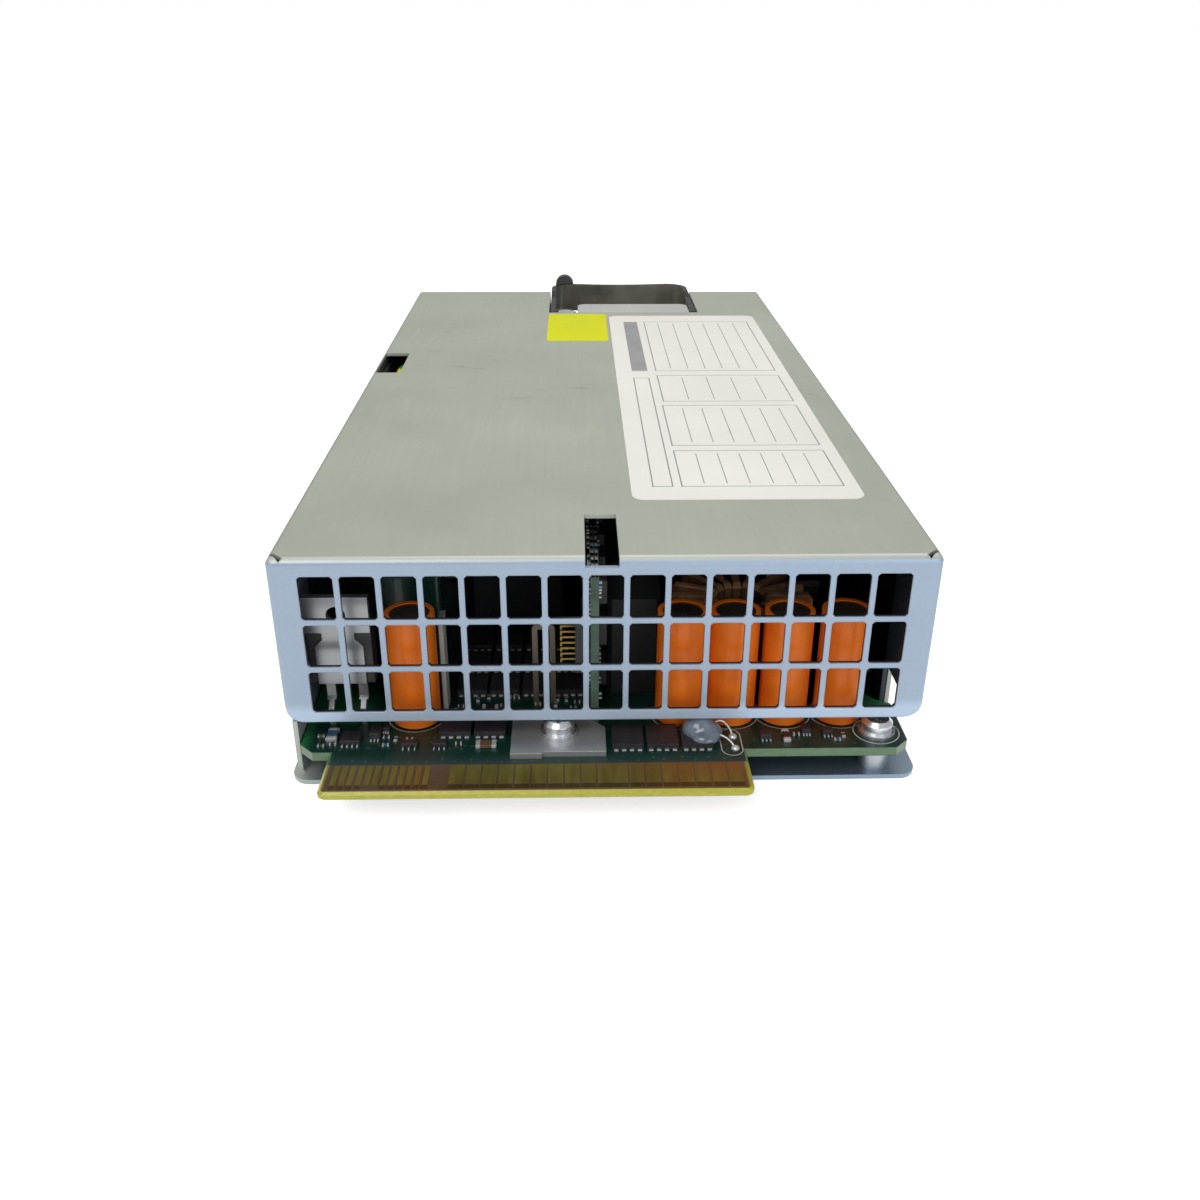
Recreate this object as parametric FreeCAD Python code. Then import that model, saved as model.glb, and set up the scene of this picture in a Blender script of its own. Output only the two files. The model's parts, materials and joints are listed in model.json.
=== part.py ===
import FreeCAD, Part
import os
from math import cos, pi, sin, tan

# Hot swap server power supply, 1U tall.  Millimetres.
# X runs across the casing, Y from the grille to the rear face, Z up.
# The origin is on the underside, at mid width, in the plane of the grille.

V = FreeCAD.Vector
AXIS_X, AXIS_Y, AXIS_Z = V(1, 0, 0), V(0, 1, 0), V(0, 0, 1)

# ---- Casing
WIDTH = 101.6
LENGTH = 192.0
HEIGHT = 39.0
SHEET = 0.8  # gauge of the folded steel
BEND = 1.2  # outside radius of a fold
SHEET_GAP = 0.1  # between nested sheets
LOOSE = 0.3  # between pieces that move past each other
FRONT_LIP = 1.8  # the tray's floor ahead of the grille
LIP_CORNER = 3.0
LEFT_WALL_START = 4.0
RIGHT_WALL_START = 18.0
RIGHT_OPENING_HEIGHT = 11.0
TRAY_WALL_START = 0.6
TRAY_WALL_DROP = 2.4  # the tray's walls end this far below the top
COVER_RISE = 0.3  # the cover's walls end this far above the underside

# ---- Grille
COLUMNS = 15
ROWS = 3
BAR = 0.9
CELL_CORNER = 0.4
GRILLE_SIDE_MARGIN = 4.15  # from the panel's edges to the outer bars' middles
GRILLE_TOP_MARGIN = 2.4
GRILLE_BOTTOM_MARGIN = 1.3
PANEL_RISE = 3.9  # its lower edge above the board
PANEL_CORNER = 3.2

# ---- Cut-outs in the cover
KEY_SLOT_X = -0.65
KEY_SLOT_WIDTH = 5.1
KEY_SLOT_LENGTH = 17.0
KEY_SLOT_DROP = 1.6
EDGE_NOTCH_START = 102.5
EDGE_NOTCH_LENGTH = 17.5
EDGE_NOTCH_DEPTH = 5.6
RELIEF_LENGTH = 2.8
RELIEF_WIDTH = 0.7
RELIEF_DEPTH = 1.8
RELIEF_INSET = 1.45  # its middle from both folds

# ---- Recess for the handle
RECESS_FAN_GAP = 0.6  # between the recess and the fan
RECESS_WIDTH = 41.4
RECESS_LENGTH = 28.0
RECESS_DEPTH = 10.0
LIP_LENGTH = 15.0  # finger lip that overhangs the recess
LIP_DROP = 0.1  # below the cover's inside face
LIP_START_OFFSET = 8.0  # from the left wall of the recess
LIP_END_OFFSET = 2.0

# ---- Handle
STRAP = 1.4
STRAP_REACH = 11.2  # the crossbar's outer face behind the casing
STRAP_CORNER = 6.0
STRAP_BOW = 1.4
STRAP_PROUD = 0.2  # above the top face
GRIP_HEIGHT = 7.9
ARM_DROP = 0.6  # the arms' tops below the grip's
FOOT_LENGTH = 12.0
FOOT_WIDTH = 7.2
FOOT_THICKNESS = 1.2
FOOT_START = 4.0  # behind the front of the recess
FOOT_RISE = 5.6  # above the recess floor
BOSS_RADIUS = 2.6
SMALL_HEAD_RADIUS = 2.2
SMALL_HEAD_HEIGHT = 1.3
SMALL_SHANK_RADIUS = 1.2
THREAD_FIT = 0.05
WALL_SCREW_FRONT_Y = 50.0
WALL_SCREW_FAN_GAP = 11.5  # the rear ones ahead of the fan
WALL_SCREW_Z = 14.0
WALL_SCREW_LENGTH = 3.4

# ---- Release latch
LATCH_STROKE = 2.5
TOOTH_REACH = 1.8  # outside the casing
TOOTH_LENGTH = 5.0
LATCH_GAUGE = 1.0
LATCH_HEIGHT = 4.8
LATCH_SETBACK = 2.4  # the latch's rear face ahead of the rear face
TAB_INSET = 4.1  # its middle from the left wall of the recess
TAB_WIDTH = 5.4
TAB_THICKNESS = 2.6
TAB_RISE = 2.5  # above the top face
STEM = 1.7
EAR_INSET = 15.1  # from the tray's left wall
SPRING_SPAN = 11.0
SPRING_RADIUS = 1.5
SPRING_WIRE = 0.4
SPRING_TURNS = 4

# ---- Main board
BOARD = 1.6
BOARD_RISE = 5.2  # its underside above the underside of the tray
BOARD_FRONT = -2.8
AISLE = 5.3  # between the board and the fan
BOARD_EDGE_GAP = 0.4
BOARD_CHAMFER = 2.2
TONGUE_FRONT = -13.6
TONGUE_INSET = 4.9  # from the board's left side
TONGUE_WIDTH = 66.1
TONGUE_CORNER = 1.2
TONGUE_BEVEL = 0.5
BOARD_NOTCH_Y = 17.0
BOARD_NOTCH_RADIUS = 7.0

# ---- Card edge contacts
PLATING = 0.05
SIGNAL_PITCH = 1.27
SIGNAL_COLUMNS = 12
SIGNAL_START = 1.7  # from the tongue's left side, as the other starts
SIGNAL_WIDTH = 0.85
POWER_PITCH = 2.54
POWER_GROOVE = 0.3
PAIR_START = 19.6
PAIR_COUNT = 2
POWER_STARTS = (24.6, 44.7)
POWER_COUNT = 8
CONTACT_FRONT = -12.7
CONTACT_REAR = -6.7
LATE_CONTACTS = (4, 5)  # these mate last
LATE_CONTACT_SETBACK = 1.0

# ---- Board fasteners
STANDOFF_RADIUS = 2.4
FRONT_SCREW_INSET = 4.5  # from the board's edge
FRONT_SCREW_Y = 1.8
PLATE_SCREW = (-7.5, 1.0)
REAR_SCREW_INSET = (5.4, 5.0)
SCREW_HEAD_RADIUS = 2.5
SCREW_HEAD_HEIGHT = 2.0
SCREW_SHANK_RADIUS = 1.5
RECESS_ARM = 0.6  # of the cross in a screw's head
WASHER_RADIUS = 3.0
WASHER = 0.7
PLATE_THICKNESS = 1.0
PLATE_LEFT = -15.1
PLATE_WIDTH = 15.1
PLATE_FRONT = -4.6
PLATE_LENGTH = 9.2

# ---- Output side, near the grille
CAN_RADIUS = 3.8
SLEEVE = 0.2
CAN_HEIGHT = 19.6
CAN_ROW_Y = 7.4
CAN_FROM_LEFT = 17.6  # from the board's side, as the next four
CANS_FROM_RIGHT = (36.3, 27.8, 19.1, 9.9)
SLEEVE_RIM = 0.55
TRANSISTOR_INSET = 6.7  # from the board's left side
TRANSISTOR_Y = 4.2
TRANSISTOR_WIDTH = 10.2
BODY_HEIGHT = 9.2
BODY_THICKNESS = 4.4
TAB_GAUGE = 1.3
TAB_HEIGHT = 6.2
TAB_NOTCH = 1.2
TAB_HOLE = 1.5
LEG_SPACING = 5.2
LEG_ROOT = 1.5
LEG_TIP = 0.9
LEG_GAUGE = 0.5
LEG_STEP = 1.6
TRANSISTOR_LIFT = 8.4  # the body above the board
CHOKE_X = 24.5
CHOKE_Y = 26.5
CHOKE_RADIUS = 11.4
CHOKE_HOLE = 5.6
CHOKE_HEIGHT = 10.0
CHOKE_TURNS = 16
CHOKE_WIRE = 1.5
CORE_BEVEL_SHARE = 8  # a toroid's bevel is its height over this
DAUGHTER_X = -2.3
DAUGHTER = 1.3
DAUGHTER_FRONT = 5.0
DAUGHTER_LENGTH = 44.0
DAUGHTER_HEIGHT = 26.6
DAUGHTER_CHIP = (1.4, 5.0, 4.0)  # thickness, length, height
DAUGHTER_CHIP_START = 6.0
DAUGHTER_CHIP_PITCH = 9.5
DAUGHTER_TIER_PITCH = 7.6
HEADER_DEPTH = 2.5
PIN_COUNT = 8
PIN_PITCH = 1.0
PIN = 0.3
PIN_REACH = 2.4
PIN_DROP = 0.6
FILM_CAPACITOR = (10.5, 17.0, 11.0, 9.0, 26.0)  # x from the board's left side, y, width, length, height
INDUCTORS = (  # x, y, width, length, height
    (0.6, 14.5, 9.0, 12.0, 18.0), (0.6, 29.0, 9.0, 12.0, 18.0), (-24.6, 40.0, 18.0, 15.0, 25.0),
    (12.0, 42.0, 20.0, 13.0, 25.0),
)
BARRIER = (21.8, 9.0, 0.8, 4.0, 17.0)  # x from the board's left side
BARRIER_EDGE = 0.2
LINK_X = -10.0
LINK_Y = 11.5
LINK_SPAN = 3.8
LINK_HEIGHT = 15.0
LINK_WIRE = 0.9
MOSFET_FIRST_X = 1.0
MOSFET_PITCH = 5.55
MOSFET_GAP = 0.55
MOSFET_LENGTH = 5.9
MOSFET_HEIGHT = 1.0
MOSFET_FRONT = -2.9
PACKAGE_GAP = 0.5  # from the packages' rows to what ends them
PAIR_ROW_Y = 1.2
INNER_ROWS_Y = (14.0, 22.0, 30.0)
INNER_ROW_START = 2.2  # behind the film capacitor's side
BLOB_X = 15.4
BLOB_RADIUS = 2.9
BLOB_HEIGHT = 2.4
LEAD_RADIUS = 0.3
LEAD_ENDS_Y = (0.6, -2.6)
LEAD_RUN = (1.4, 2.6)
LEFT_CHIPS = (  # x from the board's left side, y, width, length, height
    (4.7, 1.7, 1.7, 3.0, 0.7), (7.9, 0.6, 3.2, 3.2, 0.9), (11.6, 2.0, 1.7, 2.8, 1.2), (13.1, 3.6, 1.1, 1.4, 0.8),
)
CHIPS = (  # x, y, width, length, height
    (-31.3, -1.2, 2.8, 1.4, 0.9), (-26.5, -1.2, 2.4, 1.4, 0.9), (-19.1, -1.3, 3.2, 1.6, 0.6),
    (-19.1, 9.4, 2.6, 1.4, 0.7), (25.9, 0.4, 1.9, 1.5, 0.9), (29.2, 0.3, 1.1, 3.0, 0.6),
)
RIGHT_CHIPS = ((16.0, 2.1, 1.5, 1.9, 0.9), (12.6, 1.4, 1.8, 1.5, 0.9))  # x from the board's right side

# ---- Input side and power stage
BULK_HEADROOM = 1.4  # under the cover
BULK_LENGTH = 50.0
BULK_SIDE_GAP = 4.4
BULK_Y = 60.0
BULK_SLEEVE = 0.4
CORE_SIDE_GAP = 5.5
COIL_END_GAP = 8.4
CORE_HEADROOM = 3.6
CORE_LEG = 6.0
CORE_YOKE = 6.0
COIL_WRAP = 6.0
HEATSINK_SIDE_GAP = 3.6
HEATSINK_Y = 56.0
HEATSINK_END_GAP = 5.2  # to the relay
HEATSINK_HEADROOM = 3.4
HEATSINK_BASE = 2.2
FIN = 1.2
FIN_DEPTH = 9.0
FIN_COUNT = 6
LINE_CHOKE_FROM_REAR = 29.0
LINE_CHOKE_RADIUS = 10.0
LINE_CHOKE_HOLE = 5.0
LINE_CHOKE_HEIGHT = 11.0
LINE_CHOKE_TURNS = 9
LINE_CHOKE_WIRE = 1.2
LINE_CAPACITOR = (17.0, 26.0, 16.0)  # width, length, height
LINE_CAPACITOR_GAP = 4.8
LINE_CAPACITOR_FROM_REAR = 36.0
RELAY = (12.5, 19.0, 15.5)
RELAY_INSET = 3.2
RELAY_GAP = 0.8
RELAY_FROM_REAR = 31.0
FUSE_X = -38.0
FUSE_FROM_REAR = 12.0
FUSE_RADIUS = 2.6
FUSE_LENGTH = 20.0
FUSE_CAP = 4.0
INSULATOR = 0.4
INSULATOR_MARGIN = 1.0

# ---- Fan
FAN_HEADROOM = 1.2
FAN_DEPTH = 28.0
FAN_GAP = 0.2  # around the frame
FAN_REAR_GAP = 8.5  # to the rear face
FAN_RIM = 1.2  # between the frame's side and its bore
BLADE_GAP = 0.7
BLADES = 7
HUB_RADIUS = 9.2
HUB_DEPTH = 18.0
HUB_SETBACK = 3.0
STRUT = 1.6
STRUTS = 3
MOTOR_PLATE = 2.4
SHAFT_RADIUS = 1.5
SHAFT_FIT = 0.05
FAN_CORNER = 3.0
FAN_HOLE = 1.6

# ---- Rear face
VENT_PITCH = 4.7
VENT_FLATS = 3.9
INLET_OFFSET = 0.2  # left of the recess's middle
INLET_WIDTH = 30.8
INLET_FOOT = 2.8  # the flange above the underside
INLET_HEADROOM = 1.8  # the flange below the recess
INLET_FLANGE = 2.4
INLET_RIM = 1.9  # the flange beyond the body
INLET_WALL = (1.3, 1.5)  # of the body, at the sides, above and below
INLET_DEPTH = 20.0
SOCKET_DEPTH = 17.0
SOCKET_CHAMFER = 4.0
BLADE_PIN = (2.0, 4.0)
LIVE_SPACING = 14.0
EARTH_OFFSET = 4.0
PIN_SHORT_OF_RIM = 2.0
LIGHT_X = 40.5
LIGHT_SPOTS_Z = (11.0, 18.5, 26.0)
LIGHT_RADIUS = 1.6
LIGHT_PROUD = 0.8
FLANGE = 7.0

# ---- Earth wire
WIRE_RADIUS = 1.0
TUBE_SIDES = 10
WIRE_WALL_GAP = 1.0
EYELET_Y = 92.0
EYELET_Z = 24.0
EYELET_RADIUS = 3.4
WIRE_CREST_DROP = 1.3  # below the cover's inside face

# ---- Derived places
HALF = WIDTH / 2
INSIDE_TOP = HEIGHT - SHEET
COVER_INSIDE = HALF - SHEET
TRAY_OUTSIDE = COVER_INSIDE - SHEET_GAP
TRAY_INSIDE = TRAY_OUTSIDE - SHEET
BOARD_TOP = BOARD_RISE + BOARD
PANEL_BOTTOM = BOARD_TOP + PANEL_RISE
CELL_PITCH_X = (WIDTH - 2 * GRILLE_SIDE_MARGIN) / COLUMNS
CELL_PITCH_Z = (HEIGHT - PANEL_BOTTOM - GRILLE_TOP_MARGIN - GRILLE_BOTTOM_MARGIN) / ROWS
FAN_SIZE = INSIDE_TOP - SHEET - FAN_GAP - FAN_HEADROOM
FAN_BORE = FAN_SIZE / 2 - FAN_RIM
BLADE_TIP = FAN_BORE - BLADE_GAP
FAN_REAR = LENGTH - FAN_REAR_GAP
FAN_FRONT = FAN_REAR - FAN_DEPTH
FAN_X = -TRAY_INSIDE + FAN_GAP + FAN_SIZE / 2
WALL_SCREWS_Y = (WALL_SCREW_FRONT_Y, FAN_FRONT - WALL_SCREW_FAN_GAP)
FAN_Z = SHEET + FAN_GAP + FAN_SIZE / 2
RECESS_FRONT = LENGTH - RECESS_LENGTH
RECESS_LEFT = FAN_X + FAN_SIZE / 2 + RECESS_FAN_GAP + SHEET
RECESS_RIGHT = RECESS_LEFT + RECESS_WIDTH
RECESS_X = (RECESS_LEFT + RECESS_RIGHT) / 2
TAB_X = RECESS_LEFT + TAB_INSET
EAR_X = EAR_INSET - TRAY_INSIDE
RECESS_FLOOR = HEIGHT - RECESS_DEPTH
WELL_TOP = INSIDE_TOP - SHEET_GAP
STRAP_LEFT = RECESS_LEFT + LOOSE
STRAP_RIGHT = RECESS_RIGHT - LOOSE
STRAP_REAR = LENGTH + STRAP_REACH
STRAP_TOP = HEIGHT + STRAP_PROUD
FOOT_BOTTOM = RECESS_FLOOR + FOOT_RISE
FOOT_TOP = FOOT_BOTTOM + FOOT_THICKNESS
FOOT_REAR = RECESS_FRONT + FOOT_START + FOOT_LENGTH
FOOT_SPOTS = (
    (STRAP_LEFT + FOOT_WIDTH / 2 + STRAP / 2, RECESS_FRONT + FOOT_START + FOOT_LENGTH / 2),
    (STRAP_RIGHT - FOOT_WIDTH / 2 - STRAP / 2, RECESS_FRONT + FOOT_START + FOOT_LENGTH / 2),
)
LATCH_REAR = LENGTH - LATCH_SETBACK
LATCH_FRONT = LATCH_REAR - LATCH_GAUGE
LATCH_TOP = FOOT_BOTTOM - LOOSE
LATCH_BOTTOM = LATCH_TOP - LATCH_HEIGHT
BOARD_SIDE = TRAY_INSIDE - BOARD_EDGE_GAP
BOARD_REAR = FAN_FRONT - AISLE
SCREW_SPOTS = (
    (BOARD_SIDE - FRONT_SCREW_INSET, FRONT_SCREW_Y),
    PLATE_SCREW,
    (BOARD_SIDE - REAR_SCREW_INSET[0], BOARD_REAR - REAR_SCREW_INSET[1]),
    (REAR_SCREW_INSET[0] - BOARD_SIDE, BOARD_REAR - REAR_SCREW_INSET[1]),
)
TONGUE_LEFT = TONGUE_INSET - BOARD_SIDE
TONGUE_RIGHT = TONGUE_LEFT + TONGUE_WIDTH
CAN_OUTSIDE = CAN_RADIUS + SLEEVE
CAN_SPOTS_X = (CAN_FROM_LEFT - BOARD_SIDE,) + tuple(BOARD_SIDE - inset for inset in CANS_FROM_RIGHT)
TRANSISTOR_X = TRANSISTOR_INSET - BOARD_SIDE
BLOB_Y = CAN_ROW_Y - CAN_OUTSIDE - LOOSE - BLOB_RADIUS
HEADROOM = INSIDE_TOP - BOARD_TOP
BULK_RADIUS = (HEADROOM - BULK_HEADROOM) / 2
BULK_X = BULK_SIDE_GAP + BULK_RADIUS - TRAY_INSIDE
RELAY_X = BOARD_SIDE - RELAY_INSET - RELAY[0]
RELAY_Y = BOARD_REAR - RELAY_FROM_REAR
LINE_CHOKE_REACH = LINE_CHOKE_RADIUS + LINE_CHOKE_WIRE
LINE_CHOKE_X = RELAY_X - RELAY_GAP - LINE_CHOKE_REACH
LINE_CHOKE_Y = BOARD_REAR - LINE_CHOKE_FROM_REAR
LINE_CAPACITOR_Y = BOARD_REAR - LINE_CAPACITOR_FROM_REAR
LINE_CAPACITOR_X = LINE_CHOKE_X - LINE_CHOKE_REACH - LINE_CAPACITOR_GAP - LINE_CAPACITOR[0]
HEATSINK_TIP = TRAY_INSIDE - HEATSINK_SIDE_GAP
HEATSINK_LEFT = HEATSINK_TIP - FIN_DEPTH - HEATSINK_BASE
HEATSINK_LENGTH = RELAY_Y - HEATSINK_END_GAP - HEATSINK_Y
CORE_LEFT = BULK_X + BULK_RADIUS + CORE_SIDE_GAP
CORE_RIGHT = HEATSINK_LEFT - CORE_SIDE_GAP
CORE_FRONT = INDUCTORS[-1][1] + INDUCTORS[-1][3] + COIL_END_GAP + COIL_WRAP
CORE_REAR = LINE_CHOKE_Y - LINE_CHOKE_REACH - COIL_END_GAP - COIL_WRAP
INLET_X = RECESS_X - INLET_OFFSET
INLET_HEIGHT = RECESS_FLOOR - SHEET - INLET_HEADROOM - INLET_FOOT
INLET_Z = INLET_FOOT + INLET_HEIGHT / 2
INLET_FACE = LENGTH + INLET_FLANGE
INLET_BODY = (INLET_WIDTH - 2 * INLET_RIM, INLET_HEIGHT - 2 * INLET_RIM)
SOCKET = (INLET_BODY[0] - 2 * INLET_WALL[0], INLET_BODY[1] - 2 * INLET_WALL[1])


# ---- Helpers
def box(x0, y0, z0, x1, y1, z1):
    return Part.makeBox(x1 - x0, y1 - y0, z1 - z0, V(x0, y0, z0))


def rod(radius, length, x, y, z, axis=AXIS_Z):
    return Part.makeCylinder(radius, length, V(x, y, z), axis)


def join(shapes):
    first, rest = shapes[0], shapes[1:]
    return first.fuse(rest).removeSplitter() if rest else first


def cut(shape, tools):
    return shape.cut(Part.makeCompound(tools))


def edges_along(shape, axis):
    """The straight edges that run along an axis."""
    found = []
    for edge in shape.Edges:
        ends = edge.Vertexes[-1].Point.sub(edge.Vertexes[0].Point)
        if ends.Length and abs(ends.normalize().dot(axis)) > 0.999:
            found.append(edge)
    return found


def rounded_box(x0, y0, z0, x1, y1, z1, radius, axis=AXIS_Z):
    block = box(x0, y0, z0, x1, y1, z1)
    return block.makeFillet(radius, edges_along(block, axis))


def chamfered_box(x0, y0, z0, x1, y1, z1, chamfer, axis=AXIS_Z):
    block = box(x0, y0, z0, x1, y1, z1)
    return block.makeChamfer(chamfer, edges_along(block, axis))


def prism(points, travel):
    """A closed outline of points, swept along the vector travel."""
    corners = [V(*p) for p in points]
    return Part.Face(Part.makePolygon(corners + corners[:1])).extrude(travel)


def turned(profile, x, y, z):
    """A profile of (radius, height) points turned about a vertical axis."""
    points = [V(x + r, y, z + h) for r, h in profile]
    face = Part.Face(Part.makePolygon(points + points[:1]))
    return face.revolve(V(x, y, z), AXIS_Z, 360)


def route(points):
    """Straight runs joined by tangent arcs, as one wire."""
    spots = [V(*p) for p in points]
    edges, start = [], spots[0]
    for before, corner, after in zip(spots, spots[1:], spots[2:]):
        back, ahead = before.sub(corner), after.sub(corner)
        trim = 0.45 * min(back.Length, ahead.Length)
        enter = corner.add(back.normalize().multiply(trim))
        leave = corner.add(ahead.normalize().multiply(trim))
        half_turn = (pi - back.getAngle(ahead)) / 2
        radius = trim / tan(half_turn)
        inward = back.add(ahead).normalize()
        middle = corner.add(inward.multiply(radius / cos(half_turn) - radius))
        edges += [Part.LineSegment(start, enter).toShape(), Part.Arc(enter, middle, leave).toShape()]
        start = leave
    edges.append(Part.LineSegment(start, spots[-1]).toShape())
    return Part.Wire(edges)


def ring_of(sides, radius, centre, heading):
    """A many-sided ring square to a heading."""
    across = heading.cross(AXIS_X if abs(heading.x) < abs(heading.z) else AXIS_Z).normalize()
    above = across.cross(heading).normalize()
    corners = [centre + across * (radius * cos(2 * pi * k / sides)) + above * (radius * sin(2 * pi * k / sides))
               for k in range(sides)]
    return Part.makePolygon(corners + corners[:1])


def tube(points, radius):
    """A round wire that follows a route."""
    path = route(points)
    start = V(*points[0])
    heading = V(*points[1]).sub(start)
    section = ring_of(TUBE_SIDES, radius, start, heading)
    return path.makePipeShell([section], True, False)


def bent_lead(points):
    """A thin lead of straight runs."""
    spots = [V(*p) for p in points]
    return join([Part.makeCylinder(LEAD_RADIUS, b.sub(a).Length + LEAD_RADIUS / 2, a, b.sub(a))
                 for a, b in zip(spots, spots[1:])])


def save(node, solids):
    Part.makeCompound(solids).exportStep(os.path.join("parts", node + ".step"))


# ---- Casing
def folded_shell(x, y0, y1, z0, z1, gauge, bend, upright):
    """A sheet folded over four sides of a box: both walls, and the top or the floor."""
    def form(inset, radius):
        top = z1 - inset if upright else z1 + inset
        bottom = z0 - inset if upright else z0 + inset
        block = box(inset - x, y0 + (inset if upright else -inset), bottom, x - inset, y1 + inset, top)
        level = top if upright else bottom
        folds = [e for e in edges_along(block, AXIS_Y) if abs(e.CenterOfMass.z - level) < gauge / 2]
        if upright:
            front = [e for e in block.Edges if abs(e.CenterOfMass.y - y0 - inset) < gauge / 2]
            folds += [e for e in front if abs(e.CenterOfMass.z - bottom) > gauge / 2]
        unique = {e.hashCode(): e for e in folds}
        return block.makeFillet(radius, list(unique.values()))

    return form(0, bend).cut(form(gauge, bend - gauge))


def grille_cells():
    width, height = CELL_PITCH_X - BAR, CELL_PITCH_Z - BAR
    cell = chamfered_box(-width / 2, -SHEET, -height / 2, width / 2, 2 * SHEET, height / 2, CELL_CORNER, AXIS_Y)
    cells = []
    for row in range(ROWS):
        for column in range(COLUMNS):
            x = (column - (COLUMNS - 1) / 2) * CELL_PITCH_X
            z = HEIGHT - GRILLE_TOP_MARGIN - (row + 1 / 2) * CELL_PITCH_Z
            cells.append(cell.translated(V(x, 0, z)))
    return cells


def panel_corner(side):
    """What rounds a lower corner of the grille panel."""
    block = box(HALF - PANEL_CORNER, -SHEET, PANEL_BOTTOM - SHEET, HALF + SHEET, LEFT_WALL_START,
                PANEL_BOTTOM + PANEL_CORNER)
    round_off = rod(PANEL_CORNER, LEFT_WALL_START + 2 * SHEET, HALF - PANEL_CORNER, -SHEET,
                    PANEL_BOTTOM + PANEL_CORNER, AXIS_Y)
    corner = block.cut(round_off)
    return corner if side > 0 else corner.mirror(V(0, 0, 0), AXIS_X)


def corner_relief(side):
    """The slit where three folds of the cover meet."""
    slit = box(-RELIEF_LENGTH / 2, -RELIEF_WIDTH / 2, -RELIEF_DEPTH, RELIEF_LENGTH / 2, RELIEF_WIDTH / 2, SHEET)
    slit.rotate(V(0, 0, 0), AXIS_Z, side * 45)
    return slit.translated(V(side * (HALF - RELIEF_INSET), RELIEF_INSET, HEIGHT))


def right_opening():
    """The opening in the right wall beside the front of the board."""
    return rounded_box(TRAY_INSIDE - SHEET, -LENGTH / 4, -RIGHT_OPENING_HEIGHT, HALF + SHEET,
                       RIGHT_WALL_START, RIGHT_OPENING_HEIGHT, BEND, AXIS_X)


def tooth_slot():
    return box(-HALF - SHEET, LATCH_REAR - TOOTH_LENGTH - LOOSE, LATCH_BOTTOM - LOOSE,
               -TRAY_INSIDE + SHEET, LATCH_REAR + LOOSE, LATCH_TOP + LOOSE)


def front_block():
    """The space of the grille panel and its folds."""
    return box(-WIDTH, -SHEET, -HEIGHT, WIDTH, BEND, 2 * HEIGHT)


def key_slot():
    left = KEY_SLOT_X - KEY_SLOT_WIDTH / 2
    return box(left, -SHEET, HEIGHT - KEY_SLOT_DROP, left + KEY_SLOT_WIDTH, KEY_SLOT_LENGTH, HEIGHT + SHEET)


def cover_blank():
    """The folded sheet before its openings, with the panel cut off above the board."""
    shell = folded_shell(HALF, 0, LENGTH, COVER_RISE, HEIGHT, SHEET, BEND, True)
    below_panel = box(-HALF - SHEET, -SHEET, -SHEET, HALF + SHEET, LEFT_WALL_START, PANEL_BOTTOM)
    corners = [panel_corner(-1), panel_corner(1), corner_relief(-1), corner_relief(1)]
    return cut(shell, [below_panel, key_slot()] + corners)


def front_grille():
    return cut(cover_blank().common(front_block()), grille_cells())


def top_cover():
    tools = [
        front_block(),
        right_opening(),
        rounded_box(-COVER_INSIDE, EDGE_NOTCH_START, INSIDE_TOP - SHEET, -COVER_INSIDE + EDGE_NOTCH_DEPTH,
                    EDGE_NOTCH_START + EDGE_NOTCH_LENGTH, HEIGHT + SHEET, SHEET),
        box(RECESS_LEFT, RECESS_FRONT, INSIDE_TOP - SHEET, RECESS_RIGHT, LENGTH + SHEET, HEIGHT + SHEET),
        tooth_slot(),
    ]
    return cut(cover_blank(), tools + screw_seats())


def base_tray():
    walls_top = HEIGHT - TRAY_WALL_DROP
    channel = folded_shell(TRAY_OUTSIDE, TRAY_WALL_START, LENGTH, 0, walls_top, SHEET, BEND, False)
    floor = box(-HALF, -FRONT_LIP, 0, HALF, RIGHT_WALL_START - LOOSE, SHEET)
    front_corners = [e for e in edges_along(floor, AXIS_Z) if e.CenterOfMass.y < 0]
    floor = floor.makeFillet(LIP_CORNER, front_corners)
    left_ear_end = box(-HALF - SHEET, LEFT_WALL_START - LOOSE, -SHEET, -TRAY_OUTSIDE + BEND, LENGTH, 2 * SHEET)
    rear_gap = box(-HALF, LENGTH - SHEET - SHEET_GAP, SHEET, HALF, LENGTH + SHEET, HEIGHT)
    tray = join([channel, floor.cut(left_ear_end)])
    opening = right_opening().cut(box(-HALF, -LENGTH, -HEIGHT, WIDTH, LENGTH, SHEET))
    behind_folds = box(-HALF, -FRONT_LIP, PANEL_BOTTOM - LOOSE, HALF, BEND + SHEET_GAP, HEIGHT)
    return cut(tray, [rear_gap, opening, behind_folds, tooth_slot()] + screw_seats())


def hexagon(x, z):
    corner = VENT_FLATS / 2 / cos(pi / 6)
    points = [(x + corner * cos(k * pi / 3), LENGTH - 2 * SHEET, z + corner * sin(k * pi / 3)) for k in range(6)]
    return prism(points, V(0, 3 * SHEET, 0))


def fan_vents():
    """Hexagonal holes in staggered rows, within the fan's circle."""
    vents = []
    reach = int(BLADE_TIP / VENT_PITCH) + 2
    for i in range(-reach, reach + 1):
        for j in range(-reach, reach + 1):
            x = i * VENT_PITCH * cos(pi / 6)
            z = (j + (i % 2) / 2) * VENT_PITCH
            if (x * x + z * z) ** 0.5 + VENT_FLATS / 2 < BLADE_TIP:
                vents.append(hexagon(FAN_X + x, FAN_Z + z))
    return vents


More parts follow.
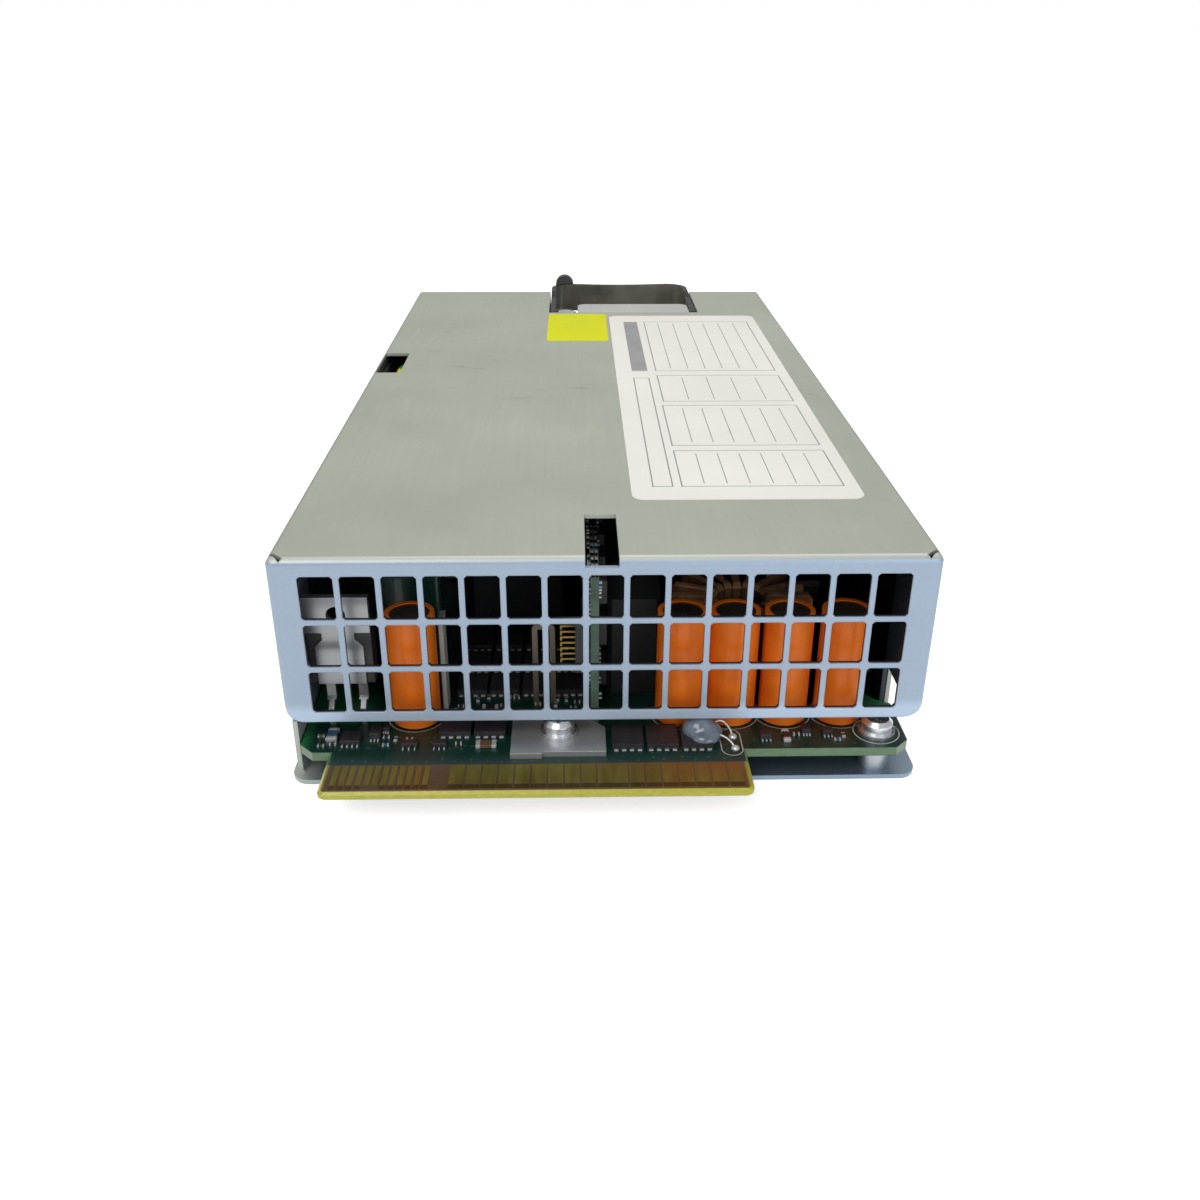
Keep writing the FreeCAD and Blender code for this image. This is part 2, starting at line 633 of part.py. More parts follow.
def rear_panel():
    side = TRAY_INSIDE - SHEET_GAP
    front = LENGTH - SHEET
    plate = box(-side, front, SHEET, side, LENGTH, WELL_TOP)
    plate = plate.makeChamfer(BEND / 2, [e for e in edges_along(plate, AXIS_Y) if e.CenterOfMass.z < BEND])
    flange = box(BEND - side, front - FLANGE, SHEET, side - BEND, front, 2 * SHEET)
    ear_left = EAR_X + SPRING_SPAN
    ear = join([
        box(ear_left, LATCH_FRONT - LOOSE - 2 * SPRING_RADIUS, LATCH_BOTTOM, ear_left + SHEET,
            LATCH_FRONT - LOOSE, WELL_TOP - LOOSE),
        box(ear_left, LATCH_FRONT - LOOSE, LATCH_TOP + LOOSE, ear_left + SHEET, front, WELL_TOP - LOOSE),
    ])
    body_width, body_height = INLET_BODY
    tools = fan_vents() + [
        box(RECESS_LEFT - SHEET - SHEET_GAP, front - SHEET, RECESS_FLOOR - SHEET - SHEET_GAP,
            RECESS_RIGHT + SHEET + SHEET_GAP, LENGTH + SHEET, HEIGHT),
        box(INLET_X - body_width / 2, front - SHEET, INLET_Z - body_height / 2,
            INLET_X + body_width / 2, LENGTH + SHEET, INLET_Z + body_height / 2),
    ]
    tools += [rod(LIGHT_RADIUS, 3 * SHEET, LIGHT_X, front - SHEET, z, AXIS_Y) for z in LIGHT_SPOTS_Z]
    return cut(join([plate, flange, ear]), tools)


def countersunk_screw(side, y, play):
    """A screw flush with a wall, or with some play its seat in the sheets."""
    inward = V(-side, 0, 0)
    place = V(side * HALF, y, WALL_SCREW_Z)
    head = Part.makeCone(SMALL_HEAD_RADIUS + play, SMALL_SHANK_RADIUS + play, SHEET, place, inward)
    return head.fuse(Part.makeCylinder(SMALL_SHANK_RADIUS + play, WALL_SCREW_LENGTH, place, inward))


def cover_screws():
    return [countersunk_screw(side, y, 0) for side in (-1, 1) for y in WALL_SCREWS_Y]


def screw_seats():
    return [countersunk_screw(side, y, THREAD_FIT) for side in (-1, 1) for y in WALL_SCREWS_Y]


# ---- Handle
def handle_well():
    """The tub that the handle folds into, with the finger lip bent back over its front."""
    tub = box(RECESS_LEFT - SHEET, RECESS_FRONT - SHEET, RECESS_FLOOR - SHEET, RECESS_RIGHT + SHEET, LENGTH, WELL_TOP)
    hollow = box(RECESS_LEFT, RECESS_FRONT, RECESS_FLOOR, RECESS_RIGHT, LENGTH + SHEET, HEIGHT)
    lip = box(RECESS_LEFT + LIP_START_OFFSET, RECESS_FRONT - SHEET, WELL_TOP - SHEET,
              RECESS_RIGHT - LIP_END_OFFSET, RECESS_FRONT + LIP_LENGTH, WELL_TOP)
    rear_corners = [e for e in edges_along(lip, AXIS_Z) if e.CenterOfMass.y > RECESS_FRONT]
    lip = lip.makeFillet(3 * SHEET, rear_corners)
    passage = box(RECESS_LEFT - 2 * SHEET, LATCH_FRONT - LOOSE, LATCH_BOTTOM - LOOSE,
                  RECESS_LEFT + SHEET, LATCH_REAR + LOOSE, LATCH_TOP + LOOSE)
    return join([tub.cut(hollow), lip]).cut(passage)


def strap_outline(inset):
    """The U of the strap in plan, inset from its outer face."""
    left, right = STRAP_LEFT + inset, STRAP_RIGHT - inset
    front, rear = RECESS_FRONT + FOOT_START, STRAP_REAR - inset
    radius = STRAP_CORNER - inset
    diagonal = radius * (1 - cos(pi / 4))
    corner_left, corner_right = left + radius, right - radius
    edges = [
        Part.LineSegment(V(left, front, 0), V(left, rear - radius, 0)),
        Part.Arc(V(left, rear - radius, 0), V(left + diagonal, rear - diagonal, 0), V(corner_left, rear, 0)),
        Part.Arc(V(corner_left, rear, 0), V(RECESS_X, rear - STRAP_BOW, 0), V(corner_right, rear, 0)),
        Part.Arc(V(corner_right, rear, 0), V(right - diagonal, rear - diagonal, 0), V(right, rear - radius, 0)),
        Part.LineSegment(V(right, rear - radius, 0), V(right, front, 0)),
        Part.LineSegment(V(right, front, 0), V(left, front, 0)),
    ]
    return Part.Face(Part.Wire([edge.toShape() for edge in edges]))


def handle():
    travel = V(0, 0, GRIP_HEIGHT)
    band = strap_outline(0).cut(strap_outline(STRAP)).extrude(travel).translated(V(0, 0, STRAP_TOP - GRIP_HEIGHT))
    front = RECESS_FRONT + FOOT_START
    arm_top = STRAP_TOP - ARM_DROP
    grip_front = STRAP_REAR - STRAP_CORNER
    side_view = [
        (front, FOOT_BOTTOM), (LENGTH, FOOT_BOTTOM), (grip_front, STRAP_TOP - GRIP_HEIGHT),
        (STRAP_REAR + SHEET, STRAP_TOP - GRIP_HEIGHT), (STRAP_REAR + SHEET, STRAP_TOP),
        (LENGTH, STRAP_TOP), (LENGTH - STRAP_CORNER, arm_top), (front, arm_top),
    ]
    profile = prism([(STRAP_LEFT - SHEET, y, z) for y, z in side_view], V(RECESS_WIDTH + 2 * SHEET, 0, 0))
    feet = [
        box(STRAP_LEFT, front, FOOT_BOTTOM, STRAP_LEFT + FOOT_WIDTH, FOOT_REAR, FOOT_TOP),
        box(STRAP_RIGHT - FOOT_WIDTH, front, FOOT_BOTTOM, STRAP_RIGHT, FOOT_REAR, FOOT_TOP),
    ]
    holes = [rod(SMALL_SHANK_RADIUS + LOOSE, 3 * FOOT_THICKNESS, x, y, FOOT_BOTTOM - FOOT_THICKNESS)
             for x, y in FOOT_SPOTS]
    return cut(join([band.common(profile)] + feet), holes)


def handle_bosses():
    bosses = []
    for x, y in FOOT_SPOTS:
        boss = rod(BOSS_RADIUS, FOOT_RISE, x, y, RECESS_FLOOR)
        bosses.append(boss.cut(rod(SMALL_SHANK_RADIUS + THREAD_FIT, FOOT_RISE, x, y, RECESS_FLOOR)))
    return bosses


def handle_screws():
    shank = FOOT_RISE + FOOT_THICKNESS - SHEET
    return [join([
        rod(SMALL_HEAD_RADIUS, SMALL_HEAD_HEIGHT, x, y, FOOT_TOP),
        rod(SMALL_SHANK_RADIUS, shank, x, y, FOOT_TOP - shank),
    ]) for x, y in FOOT_SPOTS]


# ---- Release latch
def latch_slide():
    """A steel strip behind the fan, with a ramped tooth at one end and an ear for its spring."""
    right = TAB_X + TAB_WIDTH / 2 - STEM
    rise = V(0, 0, LATCH_HEIGHT)
    tip, inner = -HALF - TOOTH_REACH, -TRAY_INSIDE + LOOSE
    tooth_front = LATCH_REAR - TOOTH_LENGTH
    plan = [
        (right, LATCH_REAR), (tip, LATCH_REAR), (tip, LATCH_REAR - TOOTH_LENGTH / 3),
        (-TRAY_OUTSIDE, tooth_front), (inner, tooth_front), (inner, LATCH_FRONT), (right, LATCH_FRONT),
    ]
    strip = prism([(x, y, LATCH_BOTTOM) for x, y in plan], rise)
    ear = box(EAR_X - SHEET, LATCH_FRONT - LOOSE - 2 * SPRING_RADIUS, LATCH_BOTTOM, EAR_X, LATCH_FRONT, LATCH_TOP)
    return join([strip, ear])


def thumb_tab():
    """The moulded tab: a clip on the strip, a stem under the strap and an upright thumb piece."""
    left, right = TAB_X - TAB_WIDTH / 2, TAB_X + TAB_WIDTH / 2
    bottom = RECESS_FLOOR + LOOSE
    tab_front = STRAP_REAR + LOOSE
    clip = box(left, LATCH_FRONT - STEM, bottom, right, LATCH_REAR + STEM / 2, LATCH_TOP)
    stem = box(left, LATCH_REAR, bottom, right, tab_front + TAB_THICKNESS, bottom + STEM)
    crown = HEIGHT + TAB_RISE - TAB_WIDTH / 2
    upright = box(left, tab_front, bottom, right, tab_front + TAB_THICKNESS, crown)
    thumb = rod(TAB_WIDTH / 2, TAB_THICKNESS, TAB_X, tab_front, crown, AXIS_Y)
    slot = box(left - SHEET, LATCH_FRONT, bottom - SHEET, right - STEM, LATCH_REAR, LATCH_TOP + SHEET)
    return join([clip, stem, upright, thumb]).cut(slot)


def latch_spring():
    length = SPRING_SPAN - 2 * SHEET_GAP
    pitch = (length - SPRING_WIRE) / SPRING_TURNS
    mean = SPRING_RADIUS - SPRING_WIRE / 2
    helix = Part.makeHelix(pitch, pitch * SPRING_TURNS, mean)
    half = SPRING_WIRE / 2
    section = Part.makePolygon([V(mean - half, 0, -half), V(mean + half, 0, -half), V(mean + half, 0, half),
                                V(mean - half, 0, half), V(mean - half, 0, -half)])
    coil = Part.Wire(helix).makePipeShell([section], True, True)
    coil.rotate(V(0, 0, 0), AXIS_Y, 90)
    centre_z = (LATCH_BOTTOM + LATCH_TOP) / 2
    return coil.translated(V(EAR_X + SHEET_GAP + half, LATCH_FRONT - LOOSE - SPRING_RADIUS, centre_z))


# ---- Main board
def screw_holes(radius, z, height):
    return [rod(radius, height, x, y, z) for x, y in SCREW_SPOTS]


def main_board():
    side, chamfer = BOARD_SIDE, BOARD_CHAMFER
    outline = [
        (-side, BOARD_REAR), (-side, BOARD_FRONT + chamfer), (-side + chamfer, BOARD_FRONT),
        (side - chamfer, BOARD_FRONT), (side, BOARD_FRONT + chamfer), (side, BOARD_REAR),
    ]
    board = prism([(x, y, BOARD_RISE) for x, y in outline], V(0, 0, BOARD))
    tongue = box(TONGUE_LEFT, TONGUE_FRONT, BOARD_RISE, TONGUE_RIGHT, BOARD_FRONT + BOARD, BOARD_TOP)
    tongue = tongue.makeFillet(TONGUE_CORNER, [e for e in edges_along(tongue, AXIS_Z) if e.CenterOfMass.y < BOARD_FRONT])
    lead_in = [e for e in edges_along(tongue, AXIS_X) if e.CenterOfMass.y < BOARD_FRONT]
    tongue = tongue.makeChamfer(TONGUE_BEVEL, lead_in)
    notch = rod(BOARD_NOTCH_RADIUS, 3 * BOARD, side + BOARD_NOTCH_RADIUS / 3, BOARD_NOTCH_Y, BOARD_RISE - BOARD)
    holes = screw_holes(SCREW_SHANK_RADIUS + LOOSE, BOARD_RISE - BOARD, 3 * BOARD)
    return cut(join([board, tongue]), holes + [notch])


def contact_rows():
    """The gold contacts of one face, as (left, right, front, rear)."""
    rows = []
    for k in range(SIGNAL_COLUMNS):
        left = TONGUE_LEFT + SIGNAL_START + k * SIGNAL_PITCH
        front = CONTACT_FRONT + (LATE_CONTACT_SETBACK if k in LATE_CONTACTS else 0)
        rows.append((left, left + SIGNAL_WIDTH, front, CONTACT_REAR))
    for start, count in [(PAIR_START, PAIR_COUNT)] + [(s, POWER_COUNT) for s in POWER_STARTS]:
        for k in range(count):
            left = TONGUE_LEFT + start + k * POWER_PITCH
            rows.append((left, left + POWER_PITCH - POWER_GROOVE, CONTACT_FRONT, CONTACT_REAR))
    return rows


def edge_contacts():
    contacts = []
    for left, right, front, rear in contact_rows():
        contacts.append(box(left, front, BOARD_TOP, right, rear, BOARD_TOP + PLATING))
        contacts.append(box(left, front, BOARD_RISE - PLATING, right, rear, BOARD_RISE))
    return contacts


def board_standoffs():
    height = BOARD_RISE - SHEET
    bore = SCREW_SHANK_RADIUS + THREAD_FIT
    return [rod(STANDOFF_RADIUS, height, x, y, SHEET).cut(rod(bore, height, x, y, SHEET)) for x, y in SCREW_SPOTS]


def seat_height(x, y):
    """The level that a screw's washer lies on: the board, or the ground plate on it."""
    on_plate = PLATE_LEFT < x < PLATE_LEFT + PLATE_WIDTH and y < PLATE_FRONT + PLATE_LENGTH
    return BOARD_TOP + (PLATE_THICKNESS if on_plate else 0)


def board_screws():
    """Cross-headed screws with captive washers."""
    screws = []
    for x, y in SCREW_SPOTS:
        seat = seat_height(x, y)
        crown, top = SCREW_HEAD_HEIGHT / 3, WASHER + SCREW_HEAD_HEIGHT
        profile = [
            (0, 2 * SHEET - seat), (SCREW_SHANK_RADIUS, 2 * SHEET - seat), (SCREW_SHANK_RADIUS, 0),
            (WASHER_RADIUS, 0), (WASHER_RADIUS, WASHER), (SCREW_HEAD_RADIUS, WASHER),
            (SCREW_HEAD_RADIUS, top - crown), (SCREW_HEAD_RADIUS - crown, top), (0, top),
        ]
        arm, half, floor = SCREW_SHANK_RADIUS, RECESS_ARM / 2, seat + WASHER + crown
        cross = [
            box(x - arm, y - half, floor, x + arm, y + half, HEIGHT),
            box(x - half, y - arm, floor, x + half, y + arm, HEIGHT),
        ]
        screws.append(cut(turned(profile, x, y, seat), cross))
    return screws


def ground_plate():
    """The plated steel plate under the middle screw, with a raised lip at its front left."""
    right, rear = PLATE_LEFT + PLATE_WIDTH, PLATE_FRONT + PLATE_LENGTH
    chamfer = PLATE_LENGTH / 4
    outline = [
        (PLATE_LEFT, PLATE_FRONT), (right, PLATE_FRONT), (right, rear - chamfer), (right - chamfer, rear),
        (PLATE_LEFT, rear),
    ]
    plate = prism([(x, y, BOARD_TOP) for x, y in outline], V(0, 0, PLATE_THICKNESS))
    lip = box(PLATE_LEFT, PLATE_FRONT - PLATE_THICKNESS / 2, BOARD_TOP, PLATE_LEFT + PLATE_WIDTH / 3,
              PLATE_FRONT, BOARD_TOP + PLATE_THICKNESS)
    x, y = SCREW_SPOTS[1]
    return join([plate, lip]).cut(rod(SCREW_SHANK_RADIUS + LOOSE, 3 * PLATE_THICKNESS, x, y, BOARD_RISE))


# ---- Output side
def can_bodies():
    return [rod(CAN_RADIUS, CAN_HEIGHT - SLEEVE, x, CAN_ROW_Y, BOARD_TOP) for x in CAN_SPOTS_X]


def can_sleeves():
    outer, rim = CAN_RADIUS + SLEEVE, CAN_RADIUS - SLEEVE_RIM
    profile = [
        (CAN_RADIUS, SLEEVE), (outer, SLEEVE), (outer, CAN_HEIGHT), (rim, CAN_HEIGHT),
        (rim, CAN_HEIGHT - SLEEVE), (CAN_RADIUS, CAN_HEIGHT - SLEEVE),
    ]
    return [turned(profile, x, CAN_ROW_Y, BOARD_TOP) for x in CAN_SPOTS_X]


def transistor_lead_frame():
    """The metal back and tab of the package, with its two outer legs."""
    bottom = BOARD_TOP + TRANSISTOR_LIFT
    gauge = TAB_GAUGE
    left = TRANSISTOR_X - TRANSISTOR_WIDTH / 2
    right = left + TRANSISTOR_WIDTH
    inset, shoulder = TRANSISTOR_WIDTH / 8, bottom + BODY_HEIGHT
    tab_top = shoulder + TAB_HEIGHT
    waist = shoulder - TAB_NOTCH
    outline = [
        (left + inset, bottom), (right - inset, bottom), (right - inset, waist - TAB_NOTCH), (right - 2 * inset, waist),
        (right - 2 * inset, shoulder), (right, shoulder), (right, tab_top), (left, tab_top), (left, shoulder),
        (left + 2 * inset, shoulder), (left + 2 * inset, waist), (left + inset, waist - TAB_NOTCH),
    ]
    tab = prism([(x, TRANSISTOR_Y, z) for x, z in outline], V(0, gauge, 0))
    tab = tab.cut(rod(TAB_HOLE, 3 * gauge, TRANSISTOR_X, TRANSISTOR_Y - gauge, shoulder + TAB_HEIGHT / 2, AXIS_Y))
    return [tab, transistor_leg(-1), transistor_leg(1)]


def transistor_leg(side):
    """A leg that steps forward below the body, wide at its root and narrow at the board."""
    bottom = BOARD_TOP + TRANSISTOR_LIFT
    x, back = TRANSISTOR_X + side * LEG_SPACING / 2, TRANSISTOR_Y + 2 * TAB_GAUGE
    bend, forward, thick = bottom - TRANSISTOR_LIFT / 2, back - LEG_STEP, LEG_GAUGE
    path = [
        (back, bottom), (back + thick, bottom), (back + thick, bend), (forward + thick, bend - LEG_STEP),
        (forward + thick, BOARD_TOP), (forward, BOARD_TOP), (forward, bend - LEG_STEP + thick), (back, bend + thick),
    ]
    blade = prism([(x - LEG_ROOT / 2, y, z) for y, z in path], V(LEG_ROOT, 0, 0))
    narrow = (LEG_ROOT - LEG_TIP) / 2
    trims = [box(x + k * (LEG_ROOT + LEG_TIP) / 4 - narrow / 2, TRANSISTOR_Y - LENGTH / 4, 0,
                 x + k * (LEG_ROOT + LEG_TIP) / 4 + narrow / 2, LENGTH / 4, bend) for k in (-1, 1)]
    return cut(blade, trims)


def transistor_body():
    bottom = BOARD_TOP + TRANSISTOR_LIFT
    left = TRANSISTOR_X - TRANSISTOR_WIDTH / 2
    body = box(left, TRANSISTOR_Y + TAB_GAUGE / 3, bottom, left + TRANSISTOR_WIDTH, TRANSISTOR_Y + BODY_THICKNESS,
               bottom + BODY_HEIGHT)
    return body.cut(transistor_lead_frame()[0])


def toroid(x, y, z, radius, hole, height):
    bevel = height / CORE_BEVEL_SHARE
    profile = [
        (hole, bevel), (hole + bevel, 0), (radius - bevel, 0), (radius, bevel), (radius, height - bevel),
        (radius - bevel, height), (hole + bevel, height), (hole, height - bevel),
    ]
    return turned(profile, x, y, z)


def turns(x, y, z, radius, hole, height, wire, count):
    """Turns of wire round a toroid that lies flat, each one a closed loop."""
    loops = []
    inner = (hole * hole - wire * wire / 4) ** 0.5  # clears the hole's round wall
    block = chamfered_box(inner - wire, -wire / 2, -wire, radius + wire, wire / 2, height + wire, wire / 2, AXIS_Y)
    window = chamfered_box(inner, -wire, 0, radius, wire, height, height / CORE_BEVEL_SHARE, AXIS_Y)
    loop = block.cut(window)
    for k in range(count):
        turn = loop.copy()
        turn.rotate(V(0, 0, 0), AXIS_Z, k * 360 / count)
        loops.append(turn.translated(V(x, y, z)))
    return loops


def output_choke():
    z = BOARD_TOP + CHOKE_WIRE
    core = toroid(CHOKE_X, CHOKE_Y, z, CHOKE_RADIUS, CHOKE_HOLE, CHOKE_HEIGHT)
    coil = turns(CHOKE_X, CHOKE_Y, z, CHOKE_RADIUS, CHOKE_HOLE, CHOKE_HEIGHT, CHOKE_WIRE, CHOKE_TURNS)
    return core, coil


def line_choke():
    z = BOARD_TOP + LINE_CHOKE_WIRE
    size = (LINE_CHOKE_RADIUS, LINE_CHOKE_HOLE, LINE_CHOKE_HEIGHT)
    place = (LINE_CHOKE_X, LINE_CHOKE_Y, z)
    return toroid(*place, *size), turns(*place, *size, LINE_CHOKE_WIRE, LINE_CHOKE_TURNS)


def daughter_board():
    return box(DAUGHTER_X, DAUGHTER_FRONT, BOARD_TOP, DAUGHTER_X + DAUGHTER, DAUGHTER_FRONT + DAUGHTER_LENGTH,
               BOARD_TOP + DAUGHTER_HEIGHT)


def daughter_chips():
    """Packages on both faces of the upright board, in three tiers."""
    chips = []
    thickness, length, height = DAUGHTER_CHIP
    for tier in range(3):
        z = BOARD_TOP + DAUGHTER_HEIGHT - (tier + 1) * DAUGHTER_TIER_PITCH
        for k in range(4):
            y = DAUGHTER_FRONT + DAUGHTER_CHIP_START + k * DAUGHTER_CHIP_PITCH
            right = DAUGHTER_X + DAUGHTER
            chips.append(box(right, y, z, right + thickness, y + length, z + height))
            if k:
                chips.append(box(DAUGHTER_X - thickness, y, z, DAUGHTER_X, y + length, z + height))
    return chips


def header_block():
    bottom = BOARD_TOP + CHOKE_HEIGHT - PIN_PITCH
    front = DAUGHTER_FRONT + PIN_PITCH
    return box(DAUGHTER_X - HEADER_DEPTH, front, bottom, DAUGHTER_X, front + HEADER_DEPTH,
               bottom + (PIN_COUNT + 1) * PIN_PITCH)


def header_pins():
    """Right-angled pins, one above another, each turned down at its end."""
    pins = []
    right = DAUGHTER_X - HEADER_DEPTH
    left, y = right - PIN_REACH, DAUGHTER_FRONT + PIN_PITCH + HEADER_DEPTH / 2
    for k in range(PIN_COUNT):
        z = BOARD_TOP + CHOKE_HEIGHT + k * PIN_PITCH
        run = box(left, y - PIN / 2, z - PIN / 2, right, y + PIN / 2, z + PIN / 2)
        pins.append(run.fuse(box(left, y - PIN / 2, z - PIN_DROP, left + PIN, y + PIN / 2, z)))
    return pins


def upright_block(place, radius):
    x, y, width, length, height = place
    return rounded_box(x, y, BOARD_TOP, x + width, y + length, BOARD_TOP + height, radius)


def from_left(place):
    """A place whose first figure is counted from the board's left side."""
    return (place[0] - BOARD_SIDE,) + place[1:]


def jumper_link():
    """A tinned link: two legs and a crossing, bent from one strip."""
    left, right = LINK_X - LINK_SPAN / 2, LINK_X + LINK_SPAN / 2
    top = BOARD_TOP + LINK_HEIGHT
    arch = rounded_box(left, LINK_Y, BOARD_TOP - LINK_WIRE, right, LINK_Y + LINK_WIRE, top, LINK_WIRE, AXIS_Y)
    inside = box(left + LINK_WIRE, LINK_Y - SHEET, BOARD_TOP - 2 * LINK_WIRE, right - LINK_WIRE,
                 LINK_Y + 2 * LINK_WIRE, top - LINK_WIRE)
    below = box(left - SHEET, LINK_Y - SHEET, 0, right + SHEET, LINK_Y + 2 * LINK_WIRE, BOARD_TOP)
    return cut(arch, [inside, below])


def power_inductors():
    return [chamfered_box(x, y, BOARD_TOP, x + w, y + l, BOARD_TOP + h, SHEET) for x, y, w, l, h in INDUCTORS]


def output_mosfets():
    """Flat power packages: three at the front edge, two beside the plate, and rows behind the grille."""
    pair_left = CAN_SPOTS_X[0] + CAN_OUTSIDE + LOOSE
    inner_left = FILM_CAPACITOR[0] + FILM_CAPACITOR[2] + INNER_ROW_START - BOARD_SIDE
    rows = [(MOSFET_FIRST_X, MOSFET_FRONT, MOSFET_PITCH, 3)]
    rows.append((pair_left, PAIR_ROW_Y, (PLATE_LEFT - PACKAGE_GAP - pair_left) / 2, 2))
    rows += [(inner_left, y, (DAUGHTER_X - PACKAGE_GAP - inner_left) / 4, 4) for y in INNER_ROWS_Y]
    packages = []
    for left, y, pitch, count in rows:
        for k in range(count):
            x = left + k * pitch
            packages.append(box(x, y, BOARD_TOP, x + pitch - MOSFET_GAP, y + MOSFET_LENGTH, BOARD_TOP + MOSFET_HEIGHT))
    return packages


def board_chips():
    """Small surface parts along the front edge of the board."""
    places = [from_left(place) for place in LEFT_CHIPS] + list(CHIPS)
    places += [(BOARD_SIDE - place[0],) + place[1:] for place in RIGHT_CHIPS]
    return [box(x - w / 2, y - l / 2, BOARD_TOP, x + w / 2, y + l / 2, BOARD_TOP + h) for x, y, w, l, h in places]


def sealant_blob():
    """A dab of sealant over the thermistor, on the last of the front packages."""
    bottom = BOARD_TOP + MOSFET_HEIGHT
    dome = Part.makeSphere(BLOB_RADIUS, V(BLOB_X, BLOB_Y, bottom + BLOB_HEIGHT - BLOB_RADIUS))
    return dome.common(box(BLOB_X - WIDTH, BLOB_Y - WIDTH, bottom, BLOB_X + WIDTH, BLOB_Y + WIDTH, HEIGHT))


def thermistor_leads():
    leads = []
    for end_y in LEAD_ENDS_Y:
        start = (BLOB_X + BLOB_RADIUS - LEAD_RADIUS, BLOB_Y, BOARD_TOP + MOSFET_HEIGHT + LEAD_RADIUS)
        middle = (BLOB_X + BLOB_RADIUS + LEAD_RUN[0], (BLOB_Y + end_y) / 2, BOARD_TOP + MOSFET_HEIGHT + 3 * LEAD_RADIUS)
        finish = (BLOB_X + BLOB_RADIUS + LEAD_RUN[1], end_y, BOARD_TOP)
        board = box(BLOB_X, end_y - BLOB_RADIUS, 0, WIDTH, end_y + BLOB_RADIUS, BOARD_TOP)
        leads.append(cut(bent_lead([start, middle, finish]), [sealant_blob(), board]))
    return leads


# ---- Input side
def bulk_capacitor():
    z = BOARD_TOP + BULK_RADIUS
    can = rod(BULK_RADIUS - BULK_SLEEVE, BULK_LENGTH, BULK_X, BULK_Y, z, AXIS_Y)
    sleeve = rod(BULK_RADIUS, BULK_LENGTH - 2 * BULK_SLEEVE, BULK_X, BULK_Y + BULK_SLEEVE, z, AXIS_Y).cut(can)
    return can, sleeve


def transformer():
    left, front, width, length = CORE_LEFT, CORE_FRONT, CORE_RIGHT - CORE_LEFT, CORE_REAR - CORE_FRONT
    bottom, top = BOARD_TOP + SHEET, INSIDE_TOP - CORE_HEADROOM
    core = box(left, front, bottom, CORE_RIGHT, CORE_REAR, top)
    window = (width - 4 * CORE_LEG) / 2
    low, high = bottom + CORE_YOKE, top - CORE_YOKE
    tools = []
    for start in (left + CORE_LEG, left + width - CORE_LEG - window):
        tools.append(box(start, front - SHEET, low, start + window, front + length + SHEET, high))
    inner_left, inner_right = left + CORE_LEG + window, left + width - CORE_LEG - window
    coil = rounded_box(left + CORE_LEG, front - COIL_WRAP, low, left + width - CORE_LEG,
                       front + length + COIL_WRAP, high, COIL_WRAP / 2)
    leg = box(inner_left, front, low, inner_right, front + length, high)
    return cut(core, tools), coil.cut(leg)


def bobbin_pins():
    pins = []
    for side in (-1, 1):
        y = (CORE_FRONT + CORE_REAR) / 2 + side * (CORE_REAR - CORE_FRONT + COIL_WRAP) / 2
        for k in range(5):
            x = (CORE_LEFT + CORE_RIGHT) / 2 + (k - 2) * 2 * POWER_PITCH
            pins.append(box(x - PIN, y - PIN, BOARD_TOP, x + PIN, y + PIN, BOARD_TOP + SHEET + CORE_YOKE))
    return pins


def heatsink():
    """A finned extrusion, its fins along the air stream."""
    bottom, height = BOARD_TOP, HEADROOM - HEATSINK_HEADROOM
    tip, root, back = HEATSINK_TIP, HEATSINK_TIP - FIN_DEPTH, HEATSINK_LEFT
    pitch = (height - FIN) / (FIN_COUNT - 1)
    outline = [(back, bottom), (back, bottom + height)]
    for k in reversed(range(FIN_COUNT)):
        low = bottom + k * pitch
        outline += [(tip, low + FIN), (tip, low)]
        if k:
            outline += [(root, low), (root, low - pitch + FIN)]
    return prism([(x, HEATSINK_Y, z) for x, z in outline], V(0, HEATSINK_LENGTH, 0))


def fuse():
    y, z = BOARD_REAR - FUSE_FROM_REAR, BOARD_TOP + FUSE_RADIUS
    body = rod(FUSE_RADIUS - SHEET / 4, FUSE_LENGTH - 2 * FUSE_CAP, FUSE_X + FUSE_CAP, y, z, AXIS_X)
    caps = [rod(FUSE_RADIUS, FUSE_CAP, FUSE_X + k * (FUSE_LENGTH - FUSE_CAP), y, z, AXIS_X) for k in (0, 1)]
    return body, caps


def insulator_sheet():
    side = BOARD_SIDE - INSULATOR_MARGIN
    front = FRONT_SCREW_Y + 2 * STANDOFF_RADIUS
    sheet = box(-side, front, SHEET, side, BOARD_REAR, SHEET + INSULATOR)
    return cut(sheet, screw_holes(STANDOFF_RADIUS + LOOSE, 0, HEIGHT))


